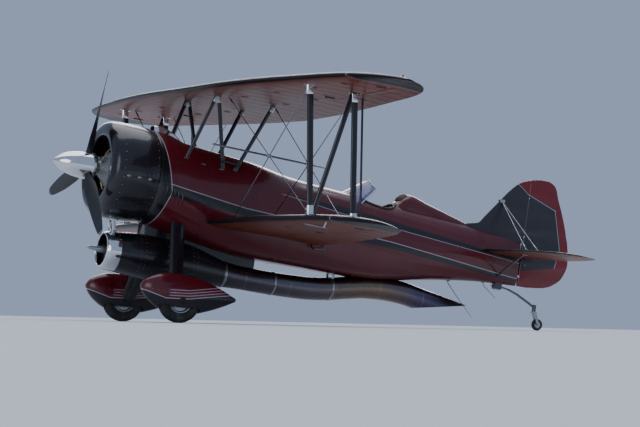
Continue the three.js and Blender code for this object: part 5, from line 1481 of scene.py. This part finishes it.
tail_tyre = lathe(even([
    (-0.019, 0.043), (-0.0215, 0.05), (-0.022, 0.056), (-0.019, 0.068), (-0.011, 0.0755), (-0.004, 0.076),
    (-0.003, 0.0735)]), "y", TAIL, 64)
tail_rim = lathe(even([(-0.0215, 0.0077), (-0.0215, 0.02), (-0.012, 0.024), (-0.012, 0.038),
                       (-0.0185, 0.0428)]), "y", TAIL, 48)
piece("tail_tyre", tail_tyre, rubber, "tail_wheel", stands_for=["tail_wheel"])
piece("tail_wheel_rim", tail_rim, wheel_metal, "tail_wheel")
fork_nuts = [set_on((TAIL[0], s * 0.041, TAIL[2]), (0, s, 0), [
    (0, 0.012), (0.005, 0.012), (0.007, 0.009), (0.007, 0)], 6) for s in (-1, 1)]
piece("tail_axle_nuts", fork_nuts, steel, "tail_fork")
spring_bolts = [set_on((x, y, -0.6395), (0, 0, -1), [
    (0, 0.009), (0.008, 0.009), (0.01, 0.006), (0.01, 0)], 6) for x in (6.25, 6.31)
                for y in (-0.025, 0.025)]
piece("tail_spring_bolts", spring_bolts, steel)
print("tyre:", len(tyre_shape.faces), "faces")

# %% [markdown]
# Struts end in bright metal cuffs, which are bolted to the wing spars. These catch the light in an
# otherwise dark rig, and so do the small forks on the ends of the flying wires.

# %% Rigging fittings


def cuff(start, end, length, wide, thin):
    """A metal sleeve on the end of a strut, with two bolts through it."""
    start, end = Vector(start), Vector(end)
    axis = (end - start).normalized()
    sleeve = oval_bar(start, start + axis * length, wide, thin, 28, (1.0, 0.93))
    bolts = [screw(start + axis * length * share + Vector((0, s * thin / 2, 0)), (0, s, 0), 0.007, 0.004)
             for share in (0.3, 0.65) for s in (-1, 1)]
    return together([sleeve, *bolts])


def wing_face(wing, x, span, top):
    middle, half = wing_middle(wing, span, x)
    return middle + (half if top else -half)


STRUT_SPAN, CABANE_TOP, CABANE_FOOT = 2.92, 0.48, 0.4
strut_ends = []
for x_top, x_foot in ((1.95, 2.18), (2.53, 2.74)):
    high = (x_top, STRUT_SPAN, wing_face(UPPER_WING, x_top, STRUT_SPAN, False) + 0.004)
    low = (x_foot, STRUT_SPAN, wing_face(LOWER_WING, x_foot, STRUT_SPAN, True) - 0.004)
    plate = block((0.15, 0.07, 0.006), 0.2)
    strut_ends += [cuff(high, low, 0.11, 0.094, 0.042), cuff(low, high, 0.11, 0.094, 0.042),
                   plate.shifted(x_top, STRUT_SPAN, high[2] - 0.004),
                   plate.shifted(x_foot, STRUT_SPAN, low[2] + 0.008)]
cabane_ends = []
for x_top, x_foot in ((1.83, 1.55), (1.84, 2.07), (2.6, 2.23)):
    high = (x_top, CABANE_TOP, wing_face(UPPER_WING, x_top, CABANE_TOP, False) + 0.004)
    cabane_ends.append(cuff(high, (x_foot, CABANE_FOOT, 0.22), 0.08, 0.062, 0.034))
wire_ends = []
WIRES = [((2.02, 2.8, 1.15), (2.095, 1.7, 0.338), 0.58), ((1.9, 0.58, 1.13), (2.095, 1.7, 0.338), 2.8),
         ((2.6, 2.8, 1.12), (2.62, 1.7, 0.325), 0.58), ((2.53, 0.58, 1.11), (2.62, 1.7, 0.325), 2.8)]
for top, cross, last in WIRES:
    top, cross = Vector(top), Vector(cross)
    foot = top + (cross - top) * ((last - top.y) / (cross.y - top.y))
    axis = (foot - top).normalized()
    wire_ends += [oval_bar(top + axis * 0.13, top + axis * 0.24, 0.024, 0.017, 12, (0.5, 0.5)),
                  oval_bar(foot - axis * 0.26, foot - axis * 0.15, 0.024, 0.017, 12, (0.5, 0.5)),
                  block((0.07, 0.03, 0.035), 0.3).shifted(*cross)]
piece("strut_cuffs", both_sides(strut_ends), chrome)
piece("cabane_cuffs", both_sides(cabane_ends), steel)
piece("wire_fittings", both_sides(wire_ends), steel)
print("fittings:", len(strut_ends), "strut,", len(wire_ends), "wire")

# %% [markdown]
# Wings carry lights at their tips, inspection rings, drain grommets, fuel caps and a pitot tube.
# Black grip tape on the lower wing roots shows where to step.

# %% Wing fittings


def ring_plate(point, normal):
    """An inspection plate held by a ring."""
    return set_on(point, normal, [(0, 0.05), (0.003, 0.05), (0.0045, 0.046), (0.0045, 0.038),
                                  (0.0025, 0.036), (0.0025, 0)], 36)


GROMMET = [(0, 0.009), (0.002, 0.008), (0.002, 0.003), (0, 0.003)]
plates, grommets, brackets = {"upper": [], "lower": []}, [], []
for label, wing, spans, shares in (("upper", UPPER_WING, (0.9, 1.8, 2.75, 3.5), (0.3, 0.62)),
                                   ("lower", LOWER_WING, (1.1, 2.0, 2.75), (0.28, 0.6))):
    start, end = wing["aileron"]
    for span in spans:
        lead, trail = (np.interp(span, wing["sections"][:, 0], wing["sections"][:, i]) for i in (1, 2))
        for share in shares:
            x = lead + (trail - lead) * share
            if share < 0.5 or start > span + 0.1 or span > end + 0.1:
                plates[label].append(
                    ring_plate((x, span, wing_face(wing, x, span, False) - 0.0005), (0.02, 0.01, -1)))
    for span in np.arange(0.75, wing["sections"][-1, 0] - 0.4, RIB_STEP):
        x = hinge_x(wing, span) - 0.09 if start < span < end else np.interp(
            span, wing["sections"][:, 0], wing["sections"][:, 2]) - 0.06
        place = (x, span + 0.05, wing_face(wing, x, span + 0.05, False))
        grommets.append(set_on(place, (0, 0, -1), GROMMET, 14))
    for span in np.linspace(start + 0.15, end - 0.15, 3):
        if abs(span - LINK_SPAN) > 0.12:
            x = hinge_x(wing, span)
            z = wing_face(wing, x - 0.12, span, False)
            front, rear = (x - 0.2, span, z + 0.004), (x - 0.06, span, z + 0.002)
            brackets.append(oval_bar(front, rear, 0.03, 0.014, 14, (0.3, 0.6)))
piece("upper_inspection_plates", both_sides(plates["upper"]), upper_paint)
piece("lower_inspection_plates", both_sides(plates["lower"]), lower_paint)
piece("drain_grommets", both_sides(grommets), brass)
piece("hinge_fairings", both_sides(brackets), strut_paint)
tank_caps = [set_on((1.95, 0.75, wing_face(UPPER_WING, 1.95, 0.75, True)), (-0.06, 0, 1), [
    (-0.004, 0.055), (0.005, 0.055), (0.009, 0.048), (0.009, 0.014), (0.02, 0.01), (0.021, 0)], 36)]
piece("wing_tank_caps", both_sides(tank_caps), chrome)
drop = wing_face(LOWER_WING, 2.2, 3.3, False) - 0.07
pitot = [tube([(2.22, -3.3, drop + 0.076), (2.2, -3.3, drop)], [0.012, 0.009], 14),
         tube([(2.24, -3.3, drop), (2.15, -3.3, drop), (1.98, -3.3, drop + 0.002),
               (1.95, -3.3, drop + 0.002)],
              [0.007, 0.008, 0.007, 0.004], 14)]
piece("pitot_tube", pitot, steel)
TAPE_EDGE = [(0.5, 0.0), (0.505, 0.0022), *[(y, 0.0024) for y in np.linspace(0.55, 0.8, 6)],
             (0.845, 0.0022), (0.85, 0.0)]
tread = sheet([[(x, y, wing_face(LOWER_WING, x, y, True) + lift) for y, lift in TAPE_EDGE]
               for x in np.linspace(2.15, 3.3, 60)])
piece("wing_walk_tape", both_sides([tread]), rubber)


def lamp(name, color, place, axis):
    """A teardrop tip light: a metal foot and a coloured lens."""
    lens = finish("windshield_glass", {"Roughness": 0.1, "Coat Weight": 1.0}, "_" + name)
    shade = lens.grain(60)
    lens.coat(lens.mix(shade, (*[c * 0.6 for c in color], 1), (*color, 1)), height=shade, depth=0.0004)
    dome = set_on(place, axis, [(0.0, 0.02), (0.006, 0.021), (0.02, 0.018), (0.03, 0.009), (0.033, 0)])
    foot = set_on(place, axis, [(-0.01, 0.02), (-0.01, 0.028), (0.003, 0.027), (0.006, 0.022)])
    piece(name, dome, lens)
    piece(name + "_foot", foot, chrome)


tip = wing_face(UPPER_WING, 2.36, 4.5, True)
lamp("port_light", (0.8, 0.02, 0.02), (2.36, -4.5, tip + 0.004), (-0.1, -0.25, 1))
lamp("starboard_light", (0.02, 0.55, 0.12), (2.36, 4.5, tip + 0.004), (-0.1, 0.25, 1))
print("inspection plates:", 2 * sum(map(len, plates.values())))

# %% [markdown]
# The cockpit edge is rolled leather. Its path is the opening's outline, lifted to the height of
# the deck at each point.

# %% Cockpit edge
EDGE_POINTS = 120
edge_path = []
for angle in turns(EDGE_POINTS):
    x, y = opening_point(angle)
    edge_path.append(np.array([x, y, deck_height(x, y) + 0.002]))
rings = []
for i, point in enumerate(edge_path):
    along = edge_path[(i + 1) % EDGE_POINTS] - edge_path[i - 1]
    along /= np.linalg.norm(along)
    out = np.cross(along, (0, 0, 1))
    out /= np.linalg.norm(out)
    up = np.cross(out, along)
    swell = 0.0165 + 0.0008 * sin(i * 2 * pi / 6)
    rings.append([point + swell * (out * cos(a) + up * sin(a)) for a in turns(18)])
piece("cockpit_roll", loft(rings, looped=True), leather)
stitches = []
for point, ahead in zip(edge_path, edge_path[1:] + edge_path[:1]):
    along = (ahead - point) / np.linalg.norm(ahead - point)
    out = np.cross(along, (0, 0, 1))
    start = point + out / np.linalg.norm(out) * 0.0125 + [0, 0, 0.0115]
    stitches.append(tube([start, start + along * 0.007], 0.0012, 5))
piece("cockpit_roll_stitches", stitches, webbing)
print("cockpit edge:", len(edge_path), "points")

# %% [markdown]
# Cushions are crowned: thick in the middle, pulled in at the corners, with a piped seam round the
# edge and sewn channels across. A grid is lifted by a formula, top and bottom, and joined at the rim.

# %% Cushions


def cushion(width, depth, height, channels=3, crown=0.35, count=36):
    """A padded pillow about the origin: width along y, depth along x, its underside nearly flat."""
    steps, faces = np.linspace(-1, 1, count + 1), []
    for face in (1, -1):
        rows = []
        for u in steps:
            rows.append([])
            for v in steps:
                pull = 1 - 0.045 * (u * u + v * v)
                rim = max((1 - abs(u) ** 5) * (1 - abs(v) ** 5), 0) ** 0.42
                groove = 1 - 0.32 * max(0, cos(pi * channels * (v + 1))) ** 14 if channels else 1
                dome = 0.5 + crown * (1 - u * u) * (1 - v * v)
                lift = height * dome * rim * (groove if face > 0 else 0.35)
                rows[-1].append((u * depth / 2 * pull, v * width / 2 * pull, face * lift))
        faces.append(sheet(rows))
    return together(faces)


def piping(width, depth, radius=0.0045):
    """The corded seam round a cushion's rim."""
    path, steps = [], np.linspace(-1, 1, 16)
    for u, v in ([(-1, t) for t in steps[:-1]] + [(t, 1) for t in steps[:-1]]
                 + [(1, -t) for t in steps[:-1]] + [(-t, -1) for t in steps]):
        pull = 1 - 0.045 * (u * u + v * v)
        path.append((u * depth / 2 * pull, v * width / 2 * pull, 0))
    return tube(path, radius, 8)


def draped(shape, bend):
    """A shape that sags to both sides, over something round."""
    return Shape(shape.corners - np.outer(bend * shape.corners[:, 1] ** 2, (0, 0, 1)), shape.faces)


def pad(name, width, depth, height, place, channels=3, bend=0.0):
    """A cushion with its piping."""
    cover, cord = draped(cushion(width, depth, height, channels), bend), draped(piping(width, depth), bend)
    made = piece(name, cover.moved(place), leather, sharp=80)
    piece(name + "_piping", cord.moved(place), webbing)


smoothed("pilot_seat", leather)
pad("seat_cushion", 0.36, 0.29, 0.07, Matrix.Translation((4.405, 0, -0.298)))
back_tilt = Matrix.Translation((4.545, 0, -0.10)) @ Matrix.Rotation(radians(-84), 4, "Y")
pad("back_cushion", 0.34, 0.27, 0.06, back_tilt)
rake = atan2(0.134, 0.19)
rest = Matrix.Translation((4.738, 0, 0.303)) @ Matrix.Rotation(-rake, 4, "Y")
pad("headrest_pad", 0.19, 0.16, 0.05, rest, 0, 4.6)


def strap(points, width=0.045, thick=0.0025, across=(0, 1, 0)):
    """Flat webbing along a path."""
    path, across, rings = [Vector(p) for p in smooth_path(points, 26)], Vector(across), []
    outline = [(-1, -0.6), (-0.96, -1), (0.96, -1), (1, -0.6), (1, 0.6), (0.96, 1), (-0.96, 1), (-1, 0.6)]
    for i, point in enumerate(path):
        along = (path[min(i + 1, len(path) - 1)] - path[max(i - 1, 0)]).normalized()
        up = along.cross(across).normalized()
        rings.append([point + across * (width / 2 * u) + up * (thick / 2 * v) for u, v in outline])
    return loft(rings)


straps = [strap([(4.618, y, -0.02), (4.6, y, 0.043), (4.56, y * 0.95, 0.05), (4.505, y * 0.9, -0.02),
                 (4.47, y * 0.75, -0.12), (4.44, y * 0.5, -0.235)]) for y in (-0.09, 0.09)]
straps += [strap([(4.5, y, -0.26), (4.47, y * 0.8, -0.248), (4.44, y * 0.3, -0.24)], across=(1, 0, 0))
           for y in (-0.185, 0.185)]
piece("harness_straps", straps, webbing)
buckle = [block((0.06, 0.07, 0.014), 0.25).shifted(4.435, 0, -0.232),
          lathe([(0, 0.022), (0.006, 0.022), (0.009, 0.016), (0.009, 0)], "z", (4.435, 0, -0.226), 24)]
buckle += [block((0.012, 0.052, 0.008), 0.2).moved(facing((4.497, y, -0.035), (-0.8, 0, 0.6)))
           for y in (-0.081, 0.081)]
piece("harness_buckles", buckle, steel)
print("seat, back and headrest pads, and", len(straps), "straps")

# %% [markdown]
# The panel faces the seat. Each dial is a turned bezel, a dark face with raised marks, and a needle.
# Plain marks and no numbers keep it generic.

# %% Instruments and controls
dial_spots = [(-0.2, 0.05, 0.04), (-0.1, 0.085, 0.045), (0.0, 0.1, 0.045), (0.1, 0.085, 0.045),
              (0.2, 0.05, 0.04), (-0.1, -0.02, 0.033), (0.0, -0.01, 0.033), (0.1, -0.02, 0.033)]
PANEL_FACE = 4.012
bezels, dial_faces, marks = [], [], []
for number, (y, z, r) in enumerate(dial_spots):
    bezels.append(lathe([(0, r - 0.006), (0, r), (0.006, r), (0.01, r - 0.003), (0.01, r - 0.006),
                         (0.004, r - 0.007), (0, r - 0.006)], "x", (PANEL_FACE, y, z), 36))
    dial_faces.append(lathe([(0.0005, r - 0.006), (0.0025, r - 0.006), (0.003, 0.004), (0.006, 0.004),
                             (0.007, 0)], "x", (PANEL_FACE, y, z), 28))
    centre = Vector((PANEL_FACE + 0.0035, y, z))
    for a in np.linspace(-0.8 * pi, 0.8 * pi, 11):
        out = Vector((0, sin(a), cos(a)))
        marks.append(tube([centre + out * (r * 0.6), centre + out * (r * 0.78)], 0.0009, 4))
    lean, centre = radians(40 * (number - 3)), Vector((PANEL_FACE + 0.0055, y, z))
    needle = Vector((0, sin(lean), cos(lean))) * r
    marks.append(tube([centre - needle * 0.15, centre + needle * 0.68], [0.0018, 0.0006], 6))
dial_mark = finish("panel_paint", {"Roughness": 0.5}, "_marks")
dial_mark.coat(dial_mark.cloudy(90, (0.6, 0.6, 0.52, 1), (0.8, 0.8, 0.7, 1)))
piece("dial_bezels", bezels, engine_metal)
piece("dial_faces", dial_faces, panel_paint)
piece("dial_marks", marks, dial_mark)
panel_screws = [screw((PANEL_FACE, y, z), (1, 0, 0), 0.0045, 0.003)
                for y in (-0.26, -0.05, 0.05, 0.26) for z in (-0.07, 0.03)]
switches = [tube([(PANEL_FACE, y, -0.06), (PANEL_FACE + 0.022, y, -0.052)], [0.003, 0.004], 8)
            for y in np.linspace(-0.14, 0.14, 8)]
piece("panel_switches", panel_screws + switches, steel)
quadrant = [block((0.14, 0.02, 0.09), 0.15).shifted(4.2, -0.345, -0.1)]
for i in range(3):
    foot, knob = (4.18 + 0.03 * i, -0.33, -0.06), (4.15 + 0.045 * i, -0.325)
    quadrant += [tube([foot, (*knob, 0.02)], 0.004, 8), lathe([
        (-0.014, 0), (-0.012, 0.009), (0, 0.013), (0.012, 0.009), (0.014, 0)], "y", (*knob, 0.025), 18)]
piece("throttle_quadrant", quadrant, engine_metal)
pedals = []
for y in (-0.14, 0.14):
    pedals += [tube([(3.66, y - 0.05, -0.36), (3.66, y + 0.05, -0.36)], 0.012, 14),
               tube([(3.66, y, -0.36), (3.62, y, -0.557)], 0.009, 12),
               block((0.05, 0.06, 0.01), 0.2).shifted(3.63, y, -0.553)]
piece("rudder_pedals", pedals, steel)
grip_rings = [(-0.222 + i * 0.012, 0.0195 + (0.0018 if i % 2 else 0)) for i in range(9)]
piece("stick_grip", lathe([(-0.224, 0.012), *grip_rings, (-0.108, 0.019), (-0.1, 0.014), (-0.099, 0)], "z",
                          (4.12, 0, 0), 28), rubber)
print(len(dial_spots), "dials")

# %% [markdown]
# Small things on the tail: a control horn on each side of the rudder, and the plates and
# turnbuckles of the bracing wires.

# %% Tail fittings


def horn(base, tip, width):
    """A flat control horn that narrows to an eye."""
    eye = lathe(even([(-0.005, 0.003), (-0.005, 0.008)]), "y", tip, 14)
    return together([oval_bar(base, tip, width, 0.005, 12, (1.2, 0.5)), eye])


piece("rudder_horns", both_sides([horn((6.62, 0.024, -0.28), (6.6, 0.09, -0.28), 0.04)]), steel, "rudder")
plates = [block((0.07, 0.006, 0.04), 0.25).shifted(6.19, 0.027, 0.5),
          *(block((0.07, 0.05, 0.005), 0.25).shifted(x, y, HINGE_Z + up)
            for x, y, up in ((6.24, 0.79, 0.027), (6.4, 0.82, 0.027), (6.3, 0.62, -0.027)))]
bolts = [screw((6.19 + dx, 0.0305, 0.5), (0, 1, 0), 0.006, 0.004) for dx in (-0.02, 0.02)]
bolts += [screw((x + dx, y, -0.14), (0, 0, 1), 0.005, 0.003)
          for x, y in ((6.24, 0.79), (6.4, 0.82)) for dx in (-0.02, 0.02)]
piece("tail_wire_plates", both_sides(plates + bolts), steel)
turnbuckles = []
for end in ((6.23, 0.8, HINGE_Z), (6.4, 0.83, HINGE_Z)):
    top, end = Vector((6.19, 0, 0.505)), Vector(end)
    turnbuckles.append(oval_bar(end.lerp(top, 0.08), end.lerp(top, 0.16), 0.018, 0.014, 12, (0.5, 0.5)))
piece("tail_turnbuckles", both_sides(turnbuckles), steel)
print("tail fittings made")

# %% [markdown]
# The aeroplane stands on a plain pale floor. Its far edge is out of sight, because the floor takes
# the colour of the pale surround.

# %% Floor and surround
SURROUND = (0.36, 0.45, 0.64, 1)
floor_mesh = bpy.data.meshes.new("floor")
FLOOR_REACH = 70
rim = [(FLOOR_REACH * cos(a), FLOOR_REACH * sin(a), 0) for a in turns(96)]
floor_mesh.from_pydata(rim, [], [tuple(range(len(rim)))])
floor = bpy.data.objects.new("floor", floor_mesh)
bpy.context.scene.collection.objects.link(floor)
floor_paint = Finish("floor_paint", {"Roughness": 1.0, "Specular IOR Level": 0.0})
floor_paint.coat(floor_paint.cloudy(0.6, (0.66, 0.68, 0.71, 1), (0.70, 0.72, 0.75, 1)))
floor_mesh.materials.append(floor_paint.material)
floor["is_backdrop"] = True
world = bpy.data.worlds.new("surround")
world.use_nodes = True
world.node_tree.nodes["Background"].inputs["Color"].default_value = SURROUND
world.node_tree.nodes["Background"].inputs["Strength"].default_value = 0.8
bpy.context.scene.world = world
print("surround", SURROUND[:3])

# %% [markdown]
# Very wide soft lamps stand in for a hazy sky: one overhead, one beyond the aeroplane that edges
# it with light, and a weak one on the camera's side, because the near side is in shade. A sun lamp
# with a wide angle is as soft as a big lamp close by, and it lights the whole floor evenly.

# %% Lights


def soft_sun(name, from_point, angle, strength, color=(1, 1, 1)):
    light = bpy.data.lights.new(name, "SUN")
    light.angle, light.energy, light.color = radians(angle), strength, color
    lamp_object = bpy.data.objects.new(name, light)
    lamp_object.location = from_point
    lamp_object.rotation_euler = Vector(from_point).to_track_quat("Z", "Y").to_euler()
    bpy.context.scene.collection.objects.link(lamp_object)


soft_sun("overhead", (1, 3, 10), 60, 1.4)
soft_sun("beyond", (7, 13, 5), 35, 1.1, (1, 0.97, 0.92))
soft_sun("near_side", (-9, -13, 4), 40, 0.7, (0.93, 0.96, 1))
print("three soft lamps")

# %% [markdown]
# The photograph looks up from below at the near side and the nose. A camera on the floor, far away
# with a long lens, comes nearest to that for a parked aeroplane.

# %% Camera
DISTANCE, YAW, ROLL, EYE_HEIGHT, AIM_HEIGHT = 40.0, 25.0, 1.3, 0.06, 1.42
view = bpy.data.cameras.new("camera")
view.lens, view.sensor_width = 178.0, 36.0
camera = bpy.data.objects.new("camera", view)
camera.location = (-sin(radians(YAW)) * DISTANCE, -cos(radians(YAW)) * DISTANCE, EYE_HEIGHT)
aim = Vector((0.0, 0.0, AIM_HEIGHT)) - camera.location
level = aim.to_track_quat("-Z", "Y").to_matrix()
camera.rotation_euler = (level @ Matrix.Rotation(radians(ROLL), 3, "Z")).to_euler()
bpy.context.scene.collection.objects.link(camera)
bpy.context.scene.camera = camera
bpy.context.view_layer.update()
print("camera looks", [round(v, 3) for v in aim.normalized()])

# %% [markdown]
# The box of everything shown is printed as its difference from the CAD box.

# %% Sizes
visual_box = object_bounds()
for corner, (cad, visual) in enumerate(zip(cad_box, visual_box)):
    print(("low", "high")[corner], [round(v - c, 4) for c, v in zip(cad, visual)])
